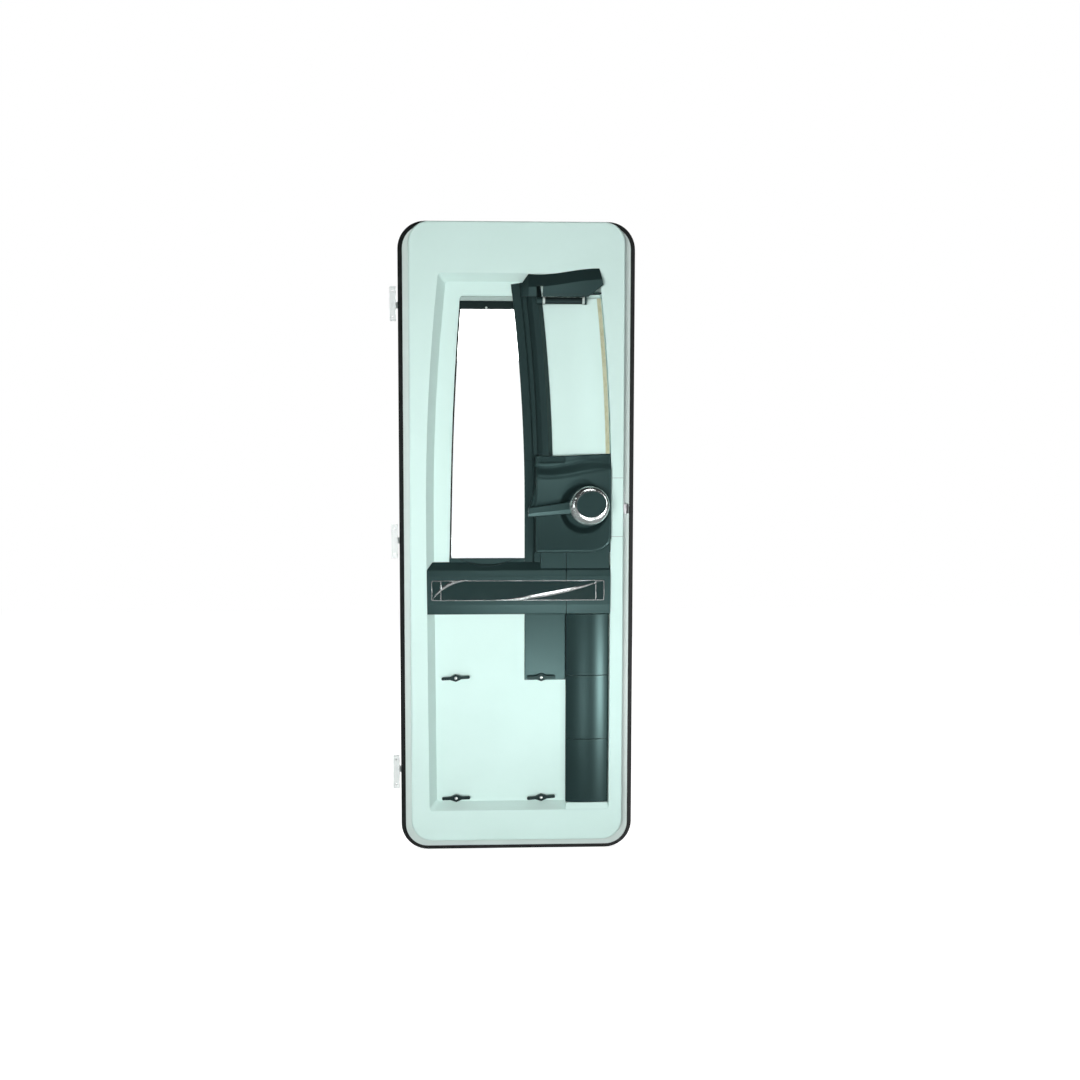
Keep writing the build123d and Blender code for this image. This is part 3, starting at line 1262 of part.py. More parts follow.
def main():
    os.makedirs("parts", exist_ok=True)
    shift = Pos(-ORIGIN[0], -ORIGIN[1], -ORIGIN[2])
    for name, piece in solids().items():
        group = piece if isinstance(piece, list) else piece.solids()
        moved = Compound(children=[shift * solid for solid in group])
        export_step(moved, f"parts/{name}.step")


main()
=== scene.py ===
"""Looks of the caravan entry door: finishes for its pieces, small fittings, studio and camera."""
import json
import math

import bmesh
import bpy
from mathutils import Matrix, Vector


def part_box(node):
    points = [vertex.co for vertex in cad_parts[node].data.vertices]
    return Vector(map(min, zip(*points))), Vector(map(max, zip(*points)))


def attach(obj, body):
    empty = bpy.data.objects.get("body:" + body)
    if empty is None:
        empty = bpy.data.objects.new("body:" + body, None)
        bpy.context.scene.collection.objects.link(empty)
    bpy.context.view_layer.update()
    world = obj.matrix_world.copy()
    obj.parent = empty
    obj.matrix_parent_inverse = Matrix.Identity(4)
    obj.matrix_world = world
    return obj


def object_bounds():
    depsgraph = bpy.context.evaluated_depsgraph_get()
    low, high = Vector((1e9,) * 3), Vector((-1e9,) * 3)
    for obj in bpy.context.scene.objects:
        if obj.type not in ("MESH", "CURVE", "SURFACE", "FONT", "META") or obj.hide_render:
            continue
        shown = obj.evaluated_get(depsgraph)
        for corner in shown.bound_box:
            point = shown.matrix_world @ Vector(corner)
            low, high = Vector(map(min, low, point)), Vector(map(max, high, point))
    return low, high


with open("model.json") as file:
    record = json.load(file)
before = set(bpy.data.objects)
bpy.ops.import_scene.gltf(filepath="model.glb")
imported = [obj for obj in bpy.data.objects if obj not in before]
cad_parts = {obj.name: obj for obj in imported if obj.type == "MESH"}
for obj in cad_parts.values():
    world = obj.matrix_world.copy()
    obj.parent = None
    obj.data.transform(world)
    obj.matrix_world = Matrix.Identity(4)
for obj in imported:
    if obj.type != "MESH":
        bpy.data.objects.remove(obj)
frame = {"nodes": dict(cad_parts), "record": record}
solid_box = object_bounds()
node = frame["nodes"]

MM = 0.001

# Finishes
TEAL_TINT = (0.60, 1.0, 0.98)
SOFT_EDGE = 1.4 * MM
SOFT_ROLL = 9.0 * MM
EASING_SAMPLES = 6
PATTERN_REACH = (0.3, 0.7)
PAINT_UNEVEN = 0.04
SLATE_GRAIN = {"grain": 420.0, "depth": 0.00012}
SLATE = {"pale": (0.0165, 0.034, 0.034), "deep": (0.014, 0.029, 0.029), "gloss": 0.30, "strength": 0.10,
         "uneven": 0.005, **SLATE_GRAIN}
SMOOTH_BELOW = math.radians(35.0)

# Places on the door, in millimetres and degrees
HINGE_LINE = 333.0
OUTSIDE_FACE = 14.0
LOWER_HINGE = 220.0
HINGE_HEIGHTS = (220.0, 860.0, 1500.0)
STRAP_FACE = -22.0
STRAP_SCREWS = ((-290.0, -20.0), (-264.0, -20.0), (-290.0, 20.0), (-264.0, 20.0))
STRAP_SCREW_TURN = 17.0
PIN_DEPTH = -24.0
PIN_HALF = 28.0
HOOK_SEAT = 34.3
HOOK_SCREWS = ((-168.0, 150.0, 20.0), (66.5, 150.0, 65.0), (-168.0, 485.4, 40.0), (66.5, 485.4, 8.0))
LATCH_FACE = 291.5
LATCH_DEPTH = 27.7
LATCH_SCREWS = ((905.0, 20.0), (991.0, 55.0))
PULL_SCREWS = ((-74.0, 10.0), (74.0, 38.0))
SEAM_X = 272.0
SEAM_DEPTH = 31.9
SEAM_HEIGHTS = (873.45, 1032.55)
HANDLE_X = 192.0
HANDLE_Z = 959.0
RIB_COUNT = 7
RIB_START = 152.0
RIB_STEP = 11.0
RIB_RADIUS = 45.5
RIB_REACH = 160.0
TO_ROOM = Matrix.Rotation(math.radians(90.0), 4, "X")
OUTDOORS = Matrix.Rotation(math.radians(-90.0), 4, "X")
TO_LOCK = Matrix.Rotation(math.radians(90.0), 4, "Y")

# Sizes of the small fittings, in metres
HOOK_SCREW = (4.1 * MM, 2.0 * MM)
STRAP_SCREW = (4.0 * MM, 1.8 * MM)
LATCH_SCREW = (3.2 * MM, 1.0 * MM)
PULL_SCREW = (4.0 * MM, 1.8 * MM)
SCREW_SIDES = 32
DOME_SIDES = 24
DOME_RADIUS = 3.9 * MM
DOME_HEIGHT = 1.6 * MM
DOME_ROUND = 1.2 * MM
# Size of the grey strips that paint the shade in the latch cover's seams
SEAM_SHADE_STRIP = (34.4 * MM, 23.0 * MM, 0.7 * MM)
SEAM_ROUND = 5.0 * MM
RIB = (11.0 * MM, 3.2 * MM, 3.0 * MM)
RIB_ROUND = 1.0 * MM
PLUG_SIDES = 40
PLUG_RADIUS = 6.6 * MM
PLUG_HEIGHT = 1.0 * MM
PLUG_ROUND = 0.4 * MM
KEYWAY = (1.4 * MM, 8.0 * MM, 1.2 * MM)
KEYWAY_ROUND = 0.5 * MM
KEYWAY_LIFT = 0.9 * MM
BEAD_INSET = 6.5 * MM
BEAD_RISE = 1.6 * MM
BEAD_SHOULDER = 1.5 * MM
BEAD_CROWN = 0.9 * MM
HAIR = 0.1 * MM
WELD = 0.01 * MM
COPLANAR = 0.05 * MM
FLAT = math.radians(0.5)
SAME_WAY = 0.9

# Shares of a screw head's radius and height
CROWN_INSET = 0.5
CROWN_RISE = 0.25
RIM_RADIUS = 0.95
RIM_HEIGHTS = (0.98, 1.02)
RIM_ROUND = 0.45
RECESS_LENGTH = 1.15
RECESS_WIDTH = 0.26
RECESS_TAPER = (0.5, 0.8, 1.0)
RECESS_LIFT = 1.15

# Studio and camera
MIDDLE = (solid_box[0] + solid_box[1]) / 2
AMBIENT = 0.18
ROOM = 0.04
BACKDROP_EDGE = (0.75, 0.97)
FLOOR_GREY = 0.7
FLOOR_LIFT = 0.88
FLOOR_ROUGHNESS = 0.9
FLOOR_SIZE = 10.0
THROUGH_PANE = 1.15
SENSOR = 36.0
VIEW_AIM = (0.333, -0.006, 0.640)
VIEW_TURN = -2.15
VIEW_RISE = 4.30
VIEW_DISTANCE = 3.2
VIEW_LENS = 39.06
VIEW_SHIFT_X = 0.0215
VIEW_SHIFT_Y = 0.001


def new_finish(name):
    """Material with a Principled shader, and the Object coordinates that its patterns read."""
    material = bpy.data.materials.new(name)
    material.use_nodes = True
    tree = material.node_tree
    place = tree.nodes.new("ShaderNodeTexCoord").outputs["Object"]
    return material, tree, tree.nodes["Principled BSDF"], place


def stretch(tree, place, scale):
    """Coordinates scaled along each axis."""
    mapping = tree.nodes.new("ShaderNodeMapping")
    mapping.inputs["Scale"].default_value = scale
    tree.links.new(place, mapping.inputs["Vector"])
    return mapping.outputs["Vector"]


def noise(tree, place, scale, detail=2.0, roughness=0.5):
    """Cloudy pattern."""
    texture = tree.nodes.new("ShaderNodeTexNoise")
    texture.inputs["Scale"].default_value = scale
    texture.inputs["Detail"].default_value = detail
    texture.inputs["Roughness"].default_value = roughness
    tree.links.new(place, texture.inputs["Vector"])
    return texture.outputs["Fac"]


def cells(tree, place, scale):
    """Pattern of small rounded cells."""
    texture = tree.nodes.new("ShaderNodeTexVoronoi")
    texture.inputs["Scale"].default_value = scale
    tree.links.new(place, texture.inputs["Vector"])
    return texture.outputs["Distance"]


def shades(tree, factor, *stops):
    """Colour ramp from (place, colour) stops."""
    ramp = tree.nodes.new("ShaderNodeValToRGB")
    elements = ramp.color_ramp.elements
    while len(elements) < len(stops):
        elements.new(0.5)
    for element, (where, colour) in zip(elements, stops):
        element.position = where
        element.color = (*colour, 1.0)
    tree.links.new(factor, ramp.inputs["Fac"])
    return ramp.outputs["Color"]


def scaled(tree, value, low, high, start=0.0, end=1.0):
    """Bring a value from one range into another."""
    reach = tree.nodes.new("ShaderNodeMapRange")
    reach.inputs["From Min"].default_value = start
    reach.inputs["From Max"].default_value = end
    reach.inputs["To Min"].default_value = low
    reach.inputs["To Max"].default_value = high
    tree.links.new(value, reach.inputs["Value"])
    return reach.outputs["Result"]


def span(tree, pattern, low, high):
    """Spread the middle part of a pattern between two values."""
    return scaled(tree, pattern, low, high, *PATTERN_REACH)


def relief(tree, shader, height, strength, distance, edge=0.0):
    """Fine relief of a surface, whose hard edges may be eased."""
    bump = tree.nodes.new("ShaderNodeBump")
    if edge:
        eased = tree.nodes.new("ShaderNodeBevel")
        eased.samples = EASING_SAMPLES
        eased.inputs["Radius"].default_value = edge
        tree.links.new(eased.outputs["Normal"], bump.inputs["Normal"])
    bump.inputs["Strength"].default_value = strength
    bump.inputs["Distance"].default_value = distance
    tree.links.new(height, bump.inputs["Height"])
    tree.links.new(bump.outputs["Normal"], shader.inputs["Normal"])


def moulded(name, pale, deep, gloss, grain=1100.0, depth=0.00008, strength=0.35, sheen=0.5, uneven=0.02,
            edge=0.0):
    """Injection-moulded plastic: slow colour drift, a fine grain, uneven gloss and eased edges."""
    material, tree, shader, place = new_finish(name)
    drift = noise(tree, place, 5.0, 4.0, 0.55)
    tree.links.new(shades(tree, drift, (0.3, deep), (0.7, pale)), shader.inputs["Base Color"])
    wipe = noise(tree, stretch(tree, place, (1.0, 1.0, 0.35)), 12.0, 1.0)
    tree.links.new(span(tree, wipe, gloss - uneven, gloss + uneven), shader.inputs["Roughness"])
    relief(tree, shader, cells(tree, place, grain), strength, depth, edge)
    shader.inputs["Specular IOR Level"].default_value = sheen
    shader.inputs["Specular Tint"].default_value = (*TEAL_TINT, 1.0)
    return material


def painted(name, pale, deep, gloss, peel=260.0):
    """Sprayed coat with a faint orange peel."""
    material, tree, shader, place = new_finish(name)
    drift = noise(tree, place, 3.0, 3.0)
    tree.links.new(shades(tree, drift, (0.3, deep), (0.7, pale)), shader.inputs["Base Color"])
    film = noise(tree, place, 14.0, 3.0)
    tree.links.new(span(tree, film, gloss - PAINT_UNEVEN, gloss + PAINT_UNEVEN), shader.inputs["Roughness"])
    relief(tree, shader, noise(tree, place, peel, 1.0), 0.12, 0.0002)
    shader.inputs["Coat Weight"].default_value = 0.25
    shader.inputs["Coat Roughness"].default_value = 0.12
    return material


def rubbery(name, pale, deep):
    """Matt rubber with dusty patches and fine pores."""
    material, tree, shader, place = new_finish(name)
    dust = noise(tree, place, 34.0, 5.0, 0.65)
    tree.links.new(shades(tree, dust, (0.42, deep), (0.78, pale)), shader.inputs["Base Color"])
    tree.links.new(span(tree, dust, 0.55, 0.75), shader.inputs["Roughness"])
    relief(tree, shader, noise(tree, place, 900.0, 2.0), 0.3, 0.0001)
    shader.inputs["Specular IOR Level"].default_value = 0.2
    return material


def plated(name, colour, smudge, gloss):
    """Bright plating with faint wiping marks."""
    material, tree, shader, place = new_finish(name)
    film = noise(tree, place, 60.0, 4.0, 0.6)
    tree.links.new(shades(tree, film, (0.35, smudge), (0.6, colour)), shader.inputs["Base Color"])
    tree.links.new(span(tree, film, gloss, gloss + 0.08), shader.inputs["Roughness"])
    relief(tree, shader, noise(tree, stretch(tree, place, (1.0, 1.0, 9.0)), 180.0), 0.03, 0.00005)
    shader.inputs["Metallic"].default_value = 1.0
    return material


def turned(name, colour, dark, gloss):
    """Bare steel with drawn lines along its length."""
    material, tree, shader, place = new_finish(name)
    lines = noise(tree, stretch(tree, place, (1.0, 1.0, 0.04)), 700.0, 3.0)
    tree.links.new(shades(tree, lines, (0.3, dark), (0.65, colour)), shader.inputs["Base Color"])
    tree.links.new(span(tree, lines, gloss, gloss + 0.14), shader.inputs["Roughness"])
    relief(tree, shader, lines, 0.15, 0.00006)
    shader.inputs["Metallic"].default_value = 1.0
    return material


def piano_gloss():
    """Glossy dark insert with hair scratches from wiping."""
    material, tree, shader, place = new_finish("piano_gloss")
    drift = noise(tree, place, 9.0, 3.0)
    colour = shades(tree, drift, (0.3, (0.014, 0.034, 0.034)), (0.7, (0.020, 0.044, 0.043)))
    tree.links.new(colour, shader.inputs["Base Color"])
    hairs = noise(tree, stretch(tree, place, (0.15, 1.0, 2.4)), 420.0, 2.0)
    tree.links.new(span(tree, hairs, 0.06, 0.14), shader.inputs["Roughness"])
    relief(tree, shader, hairs, 0.04, 0.00003)
    shader.inputs["Coat Weight"].default_value = 0.8
    shader.inputs["Coat Roughness"].default_value = 0.04
    return material


def clear_acrylic():
    """Window acrylic with a trace of haze."""
    material, tree, shader, place = new_finish("clear_acrylic")
    haze = noise(tree, place, 12.0, 5.0, 0.6)
    colour = shades(tree, haze, (0.3, (0.93, 0.97, 0.97)), (0.7, (0.98, 1.0, 1.0)))
    tree.links.new(colour, shader.inputs["Base Color"])
    tree.links.new(span(tree, haze, 0.0, 0.03), shader.inputs["Roughness"])
    shader.inputs["Transmission Weight"].default_value = 1.0
    shader.inputs["IOR"].default_value = 1.49
    return material


def bare_adhesive():
    """Dried adhesive with torn flakes."""
    material, tree, shader, place = new_finish("bare_adhesive")
    torn = noise(tree, stretch(tree, place, (1.0, 1.0, 0.3)), 150.0, 6.0, 0.7)
    bare, dry, flaked = (0.36, 0.38, 0.22), (0.50, 0.54, 0.36), (0.60, 0.64, 0.48)
    colour = shades(tree, torn, (0.3, bare), (0.55, dry), (0.8, flaked))
    tree.links.new(colour, shader.inputs["Base Color"])
    tree.links.new(span(tree, torn, 0.7, 0.9), shader.inputs["Roughness"])
    relief(tree, shader, torn, 0.6, 0.0006)
    return material


def cut_foam():
    """Cut face of the foam core, full of small bubbles."""
    material, tree, shader, place = new_finish("cut_foam")
    bubbles = cells(tree, place, 600.0)
    colour = shades(tree, bubbles, (0.1, (0.62, 0.55, 0.36)), (0.6, (0.84, 0.79, 0.60)))
    tree.links.new(colour, shader.inputs["Base Color"])
    tree.links.new(span(tree, bubbles, 0.8, 0.95), shader.inputs["Roughness"])
    relief(tree, shader, bubbles, 0.5, 0.0005)
    return material


liner_white = moulded("liner_white", (0.69, 0.885, 0.835), (0.66, 0.855, 0.80), 0.42, 1500.0, 0.00006, 0.2)
slate_trim = moulded("slate_trim", sheen=0.42, edge=SOFT_EDGE, **SLATE)
slate_rolled = moulded("slate_rolled", sheen=0.42, edge=SOFT_ROLL, **SLATE)
slate_dull = moulded("slate_dull", sheen=0.17, edge=SOFT_EDGE, **SLATE)
slate_matt = moulded("slate_matt", (0.0145, 0.029, 0.029), (0.012, 0.024, 0.024), 0.42, strength=0.12,
                     sheen=0.25, uneven=0.01, edge=SOFT_EDGE, **SLATE_GRAIN)
satin_black = moulded("satin_black", (0.008, 0.013, 0.013), (0.005, 0.009, 0.009), 0.38, 600.0, 0.0001,
                      strength=0.1, sheen=0.25)
pull_black = moulded("pull_black", (0.022, 0.023, 0.025), (0.015, 0.016, 0.018), 0.45)
# Grey of the blind cassette is painted shade: the cassette is white, set back in shade under the window's
# top
blind_grey = moulded("blind_grey", (0.40, 0.49, 0.46), (0.35, 0.44, 0.41), 0.45)
bush_white = moulded("bush_white", (0.50, 0.57, 0.54), (0.43, 0.50, 0.47), 0.4)
frame_white = painted("frame_white", (0.60, 0.70, 0.67), (0.55, 0.65, 0.62), 0.4)
skin_white = painted("skin_white", (0.82, 0.86, 0.85), (0.78, 0.83, 0.82), 0.22, 120.0)
hinge_white = painted("hinge_white", (0.80, 0.84, 0.83), (0.74, 0.79, 0.78), 0.35)
seal_rubber = rubbery("seal_rubber", (0.016, 0.018, 0.018), (0.005, 0.006, 0.006))
window_rubber = rubbery("window_rubber", (0.034, 0.038, 0.038), (0.012, 0.014, 0.014))
chrome = plated("chrome", (0.84, 0.90, 0.89), (0.74, 0.80, 0.79), 0.16)
bezel_chrome = plated("bezel_chrome", (0.88, 0.91, 0.91), (0.78, 0.82, 0.82), 0.18)
key_metal = plated("key_metal", (0.70, 0.72, 0.73), (0.58, 0.60, 0.61), 0.12)
latch_steel = turned("latch_steel", (0.60, 0.61, 0.62), (0.46, 0.47, 0.49), 0.28)
screw_zinc = plated("screw_zinc", (0.78, 0.82, 0.80), (0.62, 0.66, 0.64), 0.3)
# Grey of the seam strips is painted shade in the latch cover's seams, not a rubber part
seam_shade_grey = rubbery("seam_shade_grey", (0.20, 0.25, 0.24), (0.13, 0.17, 0.16))
pin_steel = turned("pin_steel", (0.66, 0.66, 0.66), (0.52, 0.52, 0.53), 0.22)
insert_gloss = piano_gloss()
acrylic = clear_acrylic()
adhesive = bare_adhesive()
foam = cut_foam()

FINISH_OF_SLOT = {
    "white_liner": liner_white,
    "white_metal": frame_white,
    "white_skin": skin_white,
    "seal_rubber": seal_rubber,
    "window_rubber": window_rubber,
    "window_acrylic": acrylic,
    "core_foam": foam,
    # The cassette's grey is painted shade
    "blind_grey": blind_grey,
    "blind_black": satin_black,
    "slate_trim": slate_trim,
    "rail_black": satin_black,
    "bush_white": bush_white,
    "bond_beige": adhesive,
    "bright_chrome": chrome,
    "gloss_black": insert_gloss,
    "hook_black": satin_black,
    "latch_steel": latch_steel,
    "pull_black": pull_black,
    "key_steel": key_metal,
    "hinge_white": hinge_white,
    "pin_steel": pin_steel,
}

FINISH_OF_NODE = {
    "chrome_bezel": bezel_chrome,
    "hood": slate_matt,
    "pillar": slate_matt,
    "lock_housing": slate_rolled,
    "column_cover_lower": slate_dull,
    "column_cover_middle": slate_dull,
    "column_cover_upper": slate_dull,
}


def dress_solids():
    """Give every CAD node its own finish, or else the finish of its slot."""
    for part in frame["record"]["subparts"]:
        mesh = node[part["node"]].data
        mesh.materials.clear()
        mesh.materials.append(FINISH_OF_NODE.get(part["node"]) or FINISH_OF_SLOT[part["material_slot"]])


def spot(x, depth, z):
    """Point of the frame from door millimetres: x from the middle, depth into the room, z from the foot."""
    return Vector((x + HINGE_LINE, OUTSIDE_FACE - depth, z - LOWER_HINGE)) * MM


def deselect():
    """Select no object."""
    bpy.ops.object.select_all(action="DESELECT")


def pick(piece):
    """Select one object alone and make it the active one."""
    deselect()
    piece.select_set(True)
    bpy.context.view_layer.objects.active = piece


def twin(piece, name):
    """Copy of an object, with a mesh of its own."""
    pick(piece)
    bpy.ops.object.duplicate()
    double = bpy.context.object
    double.name = name
    return double


def choose(kind, test):
    """Select the faces or edges of the edited mesh whose middle and direction pass a test."""
    bpy.ops.mesh.select_all(action="DESELECT")
    bpy.ops.mesh.select_mode(type=kind)
    data = bpy.context.object.data
    mesh = bmesh.from_edit_mesh(data)
    if kind == "FACE":
        for face in mesh.faces:
            face.select_set(test(face.calc_center_median(), face.normal))
    else:
        for edge in mesh.edges:
            ends = [end.co for end in edge.verts]
            edge.select_set(test((ends[0] + ends[1]) / 2, (ends[1] - ends[0]).normalized()))
    bmesh.update_edit_mesh(data)


def start_block(name, size):
    """Block of one size around the origin, left in edit mode."""
    deselect()
    bpy.ops.mesh.primitive_cube_add(size=1.0)
    piece = bpy.context.object
    piece.name = name
    bpy.ops.object.mode_set(mode="EDIT")
    bpy.ops.transform.resize(value=size)
    return piece


def start_round(name, radius, height, sides):
    """Upright cylinder that stands on the origin, left in edit mode."""
    deselect()
    bpy.ops.mesh.primitive_cylinder_add(vertices=sides, radius=radius, depth=height)
    piece = bpy.context.object
    piece.name = name
    bpy.ops.object.mode_set(mode="EDIT")
    bpy.ops.transform.translate(value=(0.0, 0.0, height / 2))
    return piece


def leave_edit(finish):
    """End the edit of a piece, smooth it and give it a finish."""
    bpy.ops.object.mode_set(mode="OBJECT")
    bpy.ops.object.shade_smooth_by_angle(angle=SMOOTH_BELOW)
    piece = bpy.context.object
    piece.data.materials.clear()
    piece.data.materials.append(finish)
    return piece


def cut(piece, cutter):
    """Take one mesh out of another, and remove the cutter."""
    boolean = piece.modifiers.new("cut", "BOOLEAN")
    boolean.object = cutter
    boolean.operation = "DIFFERENCE"
    boolean.solver = "EXACT"
    pick(piece)
    bpy.ops.object.modifier_apply(modifier="cut")
    bpy.data.objects.remove(cutter)


def set_out(model, places, body):
    """Copies of a model, each with its own mesh, put in place and made to ride on a body."""
    for number, place in enumerate(places, 1):
        piece = twin(model, f"{model.name}_{number}")
        piece.matrix_world = place
        bpy.ops.object.transform_apply(location=True, rotation=True, scale=True)
        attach(piece, body)
    bpy.data.objects.remove(model)


def cross_screw(name, radius, height):
    """Domed screw head with a cross recess, standing on the origin."""
    start_round(name, radius, height, SCREW_SIDES)
    choose("FACE", lambda middle, normal: normal.z > SAME_WAY)
    bpy.ops.mesh.inset(thickness=radius * CROWN_INSET)
    bpy.ops.transform.translate(value=(0.0, 0.0, height * CROWN_RISE))
    rim = radius * RIM_RADIUS
    low, high = (height * share for share in RIM_HEIGHTS)
    choose("EDGE", lambda middle, along: middle.xy.length > rim and low < middle.z < high)
    bpy.ops.mesh.bevel(offset=height * RIM_ROUND, segments=3)
    head = leave_edit(screw_zinc)
    for turn in (0.0, 90.0):
        slot = start_block("recess", (radius * RECESS_LENGTH, radius * RECESS_WIDTH, height))
        choose("FACE", lambda middle, normal: normal.z < -SAME_WAY)
        bpy.ops.transform.resize(value=RECESS_TAPER)
        bpy.ops.object.mode_set(mode="OBJECT")
        lift = Matrix.Translation((0.0, 0.0, height * RECESS_LIFT))
        slot.matrix_world = lift @ Matrix.Rotation(math.radians(turn), 4, "Z")
        bpy.ops.object.transform_apply(location=True, rotation=True, scale=True)
        cut(head, slot)
    return head


def facing(side, point, turn=0.0):
    """Place on a face that looks to one side, turned about its own axis."""
    return Matrix.Translation(point) @ side @ Matrix.Rotation(math.radians(turn), 4, "Z")


def fit_screws():
    """Screws of the wing hooks, hinge straps, latch and outside pull."""
    hooks = [facing(TO_ROOM, spot(x, HOOK_SEAT, z), turn) for x, z, turn in HOOK_SCREWS]
    set_out(cross_screw("hook_screw", *HOOK_SCREW), hooks, "leaf")
    straps = [facing(OUTDOORS, spot(x, STRAP_FACE, middle + z), STRAP_SCREW_TURN * number)
              for middle in HINGE_HEIGHTS
              for number, (x, z) in enumerate(STRAP_SCREWS)]
    set_out(cross_screw("strap_screw", *STRAP_SCREW), straps, "leaf")
    latch = [facing(TO_LOCK, spot(LATCH_FACE, LATCH_DEPTH, z), turn) for z, turn in LATCH_SCREWS]
    set_out(cross_screw("latch_screw", *LATCH_SCREW), latch, "leaf")
    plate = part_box("outer_pull_plate")
    middle = (plate[0] + plate[1]) / 2
    pulls = [facing(OUTDOORS, Vector((middle.x, plate[1].y, middle.z + rise * MM)), turn)
             for rise, turn in PULL_SCREWS]
    set_out(cross_screw("pull_screw", *PULL_SCREW), pulls, "leaf")


def fit_pin_domes():
    """Domed ends of the hinge pins."""
    start_round("pin_dome", DOME_RADIUS, DOME_HEIGHT, DOME_SIDES)
    choose("EDGE", lambda middle, along: middle.z > DOME_HEIGHT - HAIR)
    bpy.ops.mesh.bevel(offset=DOME_ROUND, segments=4)
    dome = leave_edit(pin_steel)
    upside_down = Matrix.Rotation(math.pi, 4, "X")
    ends = []
    for z in HINGE_HEIGHTS:
        ends.append(Matrix.Translation(spot(-HINGE_LINE, PIN_DEPTH, z + PIN_HALF)))
        ends.append(Matrix.Translation(spot(-HINGE_LINE, PIN_DEPTH, z - PIN_HALF)) @ upside_down)
    set_out(dome, ends, "wall_side")


def fit_seam_shade_strips():
    """Grey strips of painted shade in the two seams of the cover over the latch."""
    start_block("seam_shade_strip", SEAM_SHADE_STRIP)
    corner_x, corner_y = SEAM_SHADE_STRIP[0] / 2 - HAIR, HAIR - SEAM_SHADE_STRIP[1] / 2
    choose("EDGE", lambda middle, along: middle.x > corner_x and middle.y < corner_y)
    bpy.ops.mesh.bevel(offset=SEAM_ROUND, segments=5)
    strip = leave_edit(seam_shade_grey)
    seams = [Matrix.Translation(spot(SEAM_X, SEAM_DEPTH, z)) for z in SEAM_HEIGHTS]
    set_out(strip, seams, "leaf")


def fit_grip_ribs():
    """Raised ribs on the hinge side of the bright ring, where the thumb grips it."""
    start_block("grip_rib", RIB)
    choose("EDGE", lambda middle, along: middle.z > RIB[2] / 2 - HAIR)
    bpy.ops.mesh.bevel(offset=RIB_ROUND, segments=3)
    rib = leave_edit(chrome)
    into_wall = Vector((0.0, 1.0, 0.0))
    ribs = []
    for step in range(RIB_COUNT):
        turn = math.radians(RIB_START + RIB_STEP * step)
        x, z = RIB_RADIUS * math.cos(turn), RIB_RADIUS * math.sin(turn)
        before = spot(HANDLE_X + x, RIB_REACH, HANDLE_Z + z)
        _, seat, outward, _ = node["handle_ring"].ray_cast(before, into_wall)
        outer = Vector((math.cos(turn), 0.0, math.sin(turn)))
        across = outward.cross(outer).normalized()
        along = across.cross(outward)
        stand = Matrix((along, across, outward)).transposed().to_4x4()
        ribs.append(Matrix.Translation(seat) @ stand)
    set_out(rib, ribs, "handle")


def fit_keyway():
    """Face of the key cylinder with its slot."""
    start_round("key_plug", PLUG_RADIUS, PLUG_HEIGHT, PLUG_SIDES)
    choose("EDGE", lambda middle, along: middle.z > PLUG_HEIGHT - HAIR)
    bpy.ops.mesh.bevel(offset=PLUG_ROUND, segments=2)
    plug = leave_edit(key_metal)
    slot = start_block("keyway", KEYWAY)
    choose("EDGE", lambda middle, along: abs(along.z) > SAME_WAY)
    bpy.ops.mesh.bevel(offset=KEYWAY_ROUND, segments=2)
    bpy.ops.transform.translate(value=(0.0, 0.0, KEYWAY_LIFT))
    bpy.ops.object.mode_set(mode="OBJECT")
    cut(plug, slot)
    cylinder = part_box("key_cylinder")
    middle = (cylinder[0] + cylinder[1]) / 2
    face = facing(OUTDOORS, Vector((middle.x, cylinder[1].y, middle.z)))
    set_out(plug, [face], "leaf")


def fit_filler_strip():
    """Bead pressed into the outside flange of the window gasket."""
    strip = twin(node["window_frame"], "window_filler_strip")
    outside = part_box("window_frame")[1].y
    bpy.ops.object.mode_set(mode="EDIT")
    bpy.ops.mesh.select_all(action="SELECT")
    bpy.ops.mesh.remove_doubles(threshold=WELD)
    choose("FACE", lambda middle, normal: abs(middle.y - outside) > COPLANAR)
    bpy.ops.mesh.delete(type="FACE")
    bpy.ops.mesh.select_all(action="SELECT")
    bpy.ops.mesh.dissolve_limited(angle_limit=FLAT)
    bpy.ops.mesh.select_all(action="SELECT")
    bpy.ops.mesh.inset(thickness=BEAD_INSET, use_boundary=True)
    bpy.ops.mesh.select_all(action="INVERT")
    bpy.ops.mesh.delete(type="FACE")
    bpy.ops.mesh.select_all(action="SELECT")
    bpy.ops.mesh.extrude_region_move(TRANSFORM_OT_translate={"value": (0.0, BEAD_RISE, 0.0)})
    bpy.ops.mesh.inset(thickness=BEAD_SHOULDER)
    bpy.ops.transform.translate(value=(0.0, BEAD_CROWN, 0.0))
    bpy.ops.mesh.select_all(action="SELECT")
    bpy.ops.mesh.normals_make_consistent(inside=False)
    leave_edit(window_rubber)
    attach(strip, "leaf")


def largest(tree, *values):
    """Largest of several values."""
    top = values[0]
    for value in values[1:]:
        step = tree.nodes.new("ShaderNodeMath")
        step.operation = "MAXIMUM"
        tree.links.new(top, step.inputs[0])
        tree.links.new(value, step.inputs[1])
        top = step.outputs["Value"]
    return top


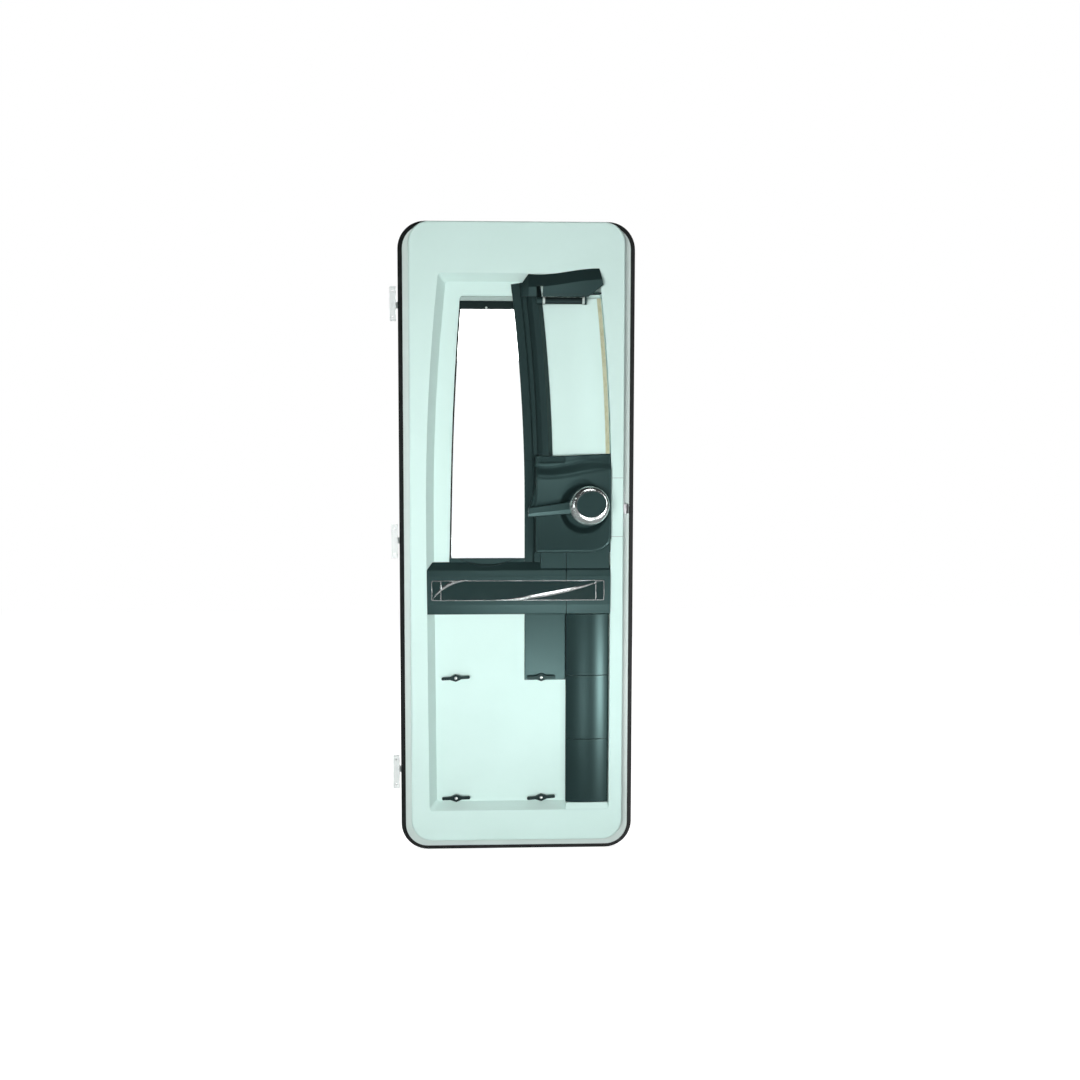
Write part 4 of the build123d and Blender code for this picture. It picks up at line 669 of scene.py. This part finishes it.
def studio_world():
    """White backdrop; reflections see a dim room behind the camera and the white backdrop in front."""
    world = bpy.data.worlds.new("studio")
    bpy.context.scene.world = world
    world.use_nodes = True
    tree = world.node_tree
    backdrop = tree.nodes["Background"]
    backdrop.inputs["Color"].default_value = (1.0, 1.0, 1.0, 1.0)
    light_path = tree.nodes.new("ShaderNodeLightPath").outputs
    direction = tree.nodes.new("ShaderNodeSeparateXYZ")
    tree.links.new(tree.nodes.new("ShaderNodeTexCoord").outputs["Generated"], direction.inputs["Vector"])
    room = scaled(tree, direction.outputs["Y"], ROOM, 1.0, *BACKDROP_EDGE)
    mirrored = tree.nodes.new("ShaderNodeMath")
    mirrored.operation = "MULTIPLY"
    tree.links.new(light_path["Is Glossy Ray"], mirrored.inputs[0])
    tree.links.new(room, mirrored.inputs[1])
    direct = largest(tree, light_path["Is Camera Ray"],
                     scaled(tree, light_path["Is Transmission Ray"], 0.0, THROUGH_PANE))
    diffuse = scaled(tree, light_path["Is Diffuse Ray"], 0.0, AMBIENT)
    tree.links.new(largest(tree, direct, mirrored.outputs["Value"], diffuse), backdrop.inputs["Strength"])


def studio_floor():
    """Pale floor at the foot of the leaf, which stays white to the camera and keeps the shadow."""
    material = bpy.data.materials.new("studio_floor")
    material.use_nodes = True
    tree = material.node_tree
    shader = tree.nodes["Principled BSDF"]
    shader.inputs["Base Color"].default_value = (FLOOR_GREY, FLOOR_GREY, FLOOR_GREY, 1.0)
    shader.inputs["Roughness"].default_value = FLOOR_ROUGHNESS
    shader.inputs["Specular IOR Level"].default_value = 0.0
    shader.inputs["Emission Color"].default_value = (1.0, 1.0, 1.0, 1.0)
    light_path = tree.nodes.new("ShaderNodeLightPath").outputs
    direct = largest(tree, light_path["Is Camera Ray"], light_path["Is Transmission Ray"])
    tree.links.new(scaled(tree, direct, 0.0, FLOOR_LIFT), shader.inputs["Emission Strength"])
    bpy.ops.mesh.primitive_plane_add(size=FLOOR_SIZE, location=(MIDDLE.x, MIDDLE.y, solid_box[0].z))
    floor = bpy.context.object
    floor.name = "studio_floor"
    floor.data.materials.append(material)


def softbox(name, place, width, height, power, fills=True, glints=True, spread=180.0):
    """Soft lamp aimed at the leaf, which fills in, shows in gloss, or both."""
    light = bpy.data.lights.new(name, "AREA")
    light.shape = "RECTANGLE"
    light.size = width
    light.size_y = height
    light.energy = power
    light.spread = math.radians(spread)
    lamp = bpy.data.objects.new(name, light)
    bpy.context.collection.objects.link(lamp)
    lamp.location = place
    lamp.visible_diffuse = fills
    lamp.visible_glossy = glints
    lamp.rotation_euler = (MIDDLE - Vector(place)).to_track_quat("-Z", "Y").to_euler()


def photo_camera():
    """Camera at the photo's angle, aimed at the middle of the leaf."""
    lens = bpy.data.cameras.new("photo_camera")
    camera = bpy.data.objects.new("photo_camera", lens)
    bpy.context.collection.objects.link(camera)
    turn = math.radians(VIEW_TURN)
    rise = math.radians(VIEW_RISE)
    aim = Vector(VIEW_AIM)
    offset = Vector((math.sin(turn) * math.cos(rise), -math.cos(turn) * math.cos(rise), math.sin(rise)))
    camera.location = aim + VIEW_DISTANCE * offset
    camera.rotation_mode = "QUATERNION"
    camera.rotation_quaternion = (aim - camera.location).to_track_quat("-Z", "Y")
    lens.sensor_width = SENSOR
    lens.lens = VIEW_LENS
    lens.shift_x = VIEW_SHIFT_X
    lens.shift_y = VIEW_SHIFT_Y
    bpy.context.scene.camera = camera


dress_solids()
fit_screws()
fit_pin_domes()
fit_seam_shade_strips()
fit_grip_ribs()
fit_keyway()
fit_filler_strip()
studio_world()
studio_floor()
softbox("front_fill", (0.1, -4.5, 0.08), 2.0, 0.56, 58.0, glints=False)
softbox("left_fill", (-0.9, -3.4, 0.6), 1.2, 1.2, 9.3, glints=False, spread=60.0)
softbox("low_glint", (0.42, -1.65, -0.11), 0.25, 0.16, 2.9, fills=False)
softbox("foot_glint", (0.48, -1.2, -0.04), 0.5, 0.14, 3.1, fills=False)
softbox("lock_glint", (0.6, -2.0, 0.05), 0.4, 0.2, 1.1, fills=False)
softbox("column_glint", (1.56, -1.66, -0.13), 0.3, 0.12, 46.0, fills=False)
softbox("top_glint", (0.5, -2.2, 2.2), 0.8, 0.4, 7.0, fills=False)
softbox("left_glint", (-1.3, -0.9, 0.55), 0.5, 0.5, 2.5, fills=False)
softbox("right_window", (2.7, -2.4, 1.2), 1.2, 1.5, 36.0, fills=False)
softbox("back_wash", (0.6, 3.0, 2.2), 2.4, 1.8, 60.0)
photo_camera()
bpy.context.scene.view_settings.view_transform = "Standard"
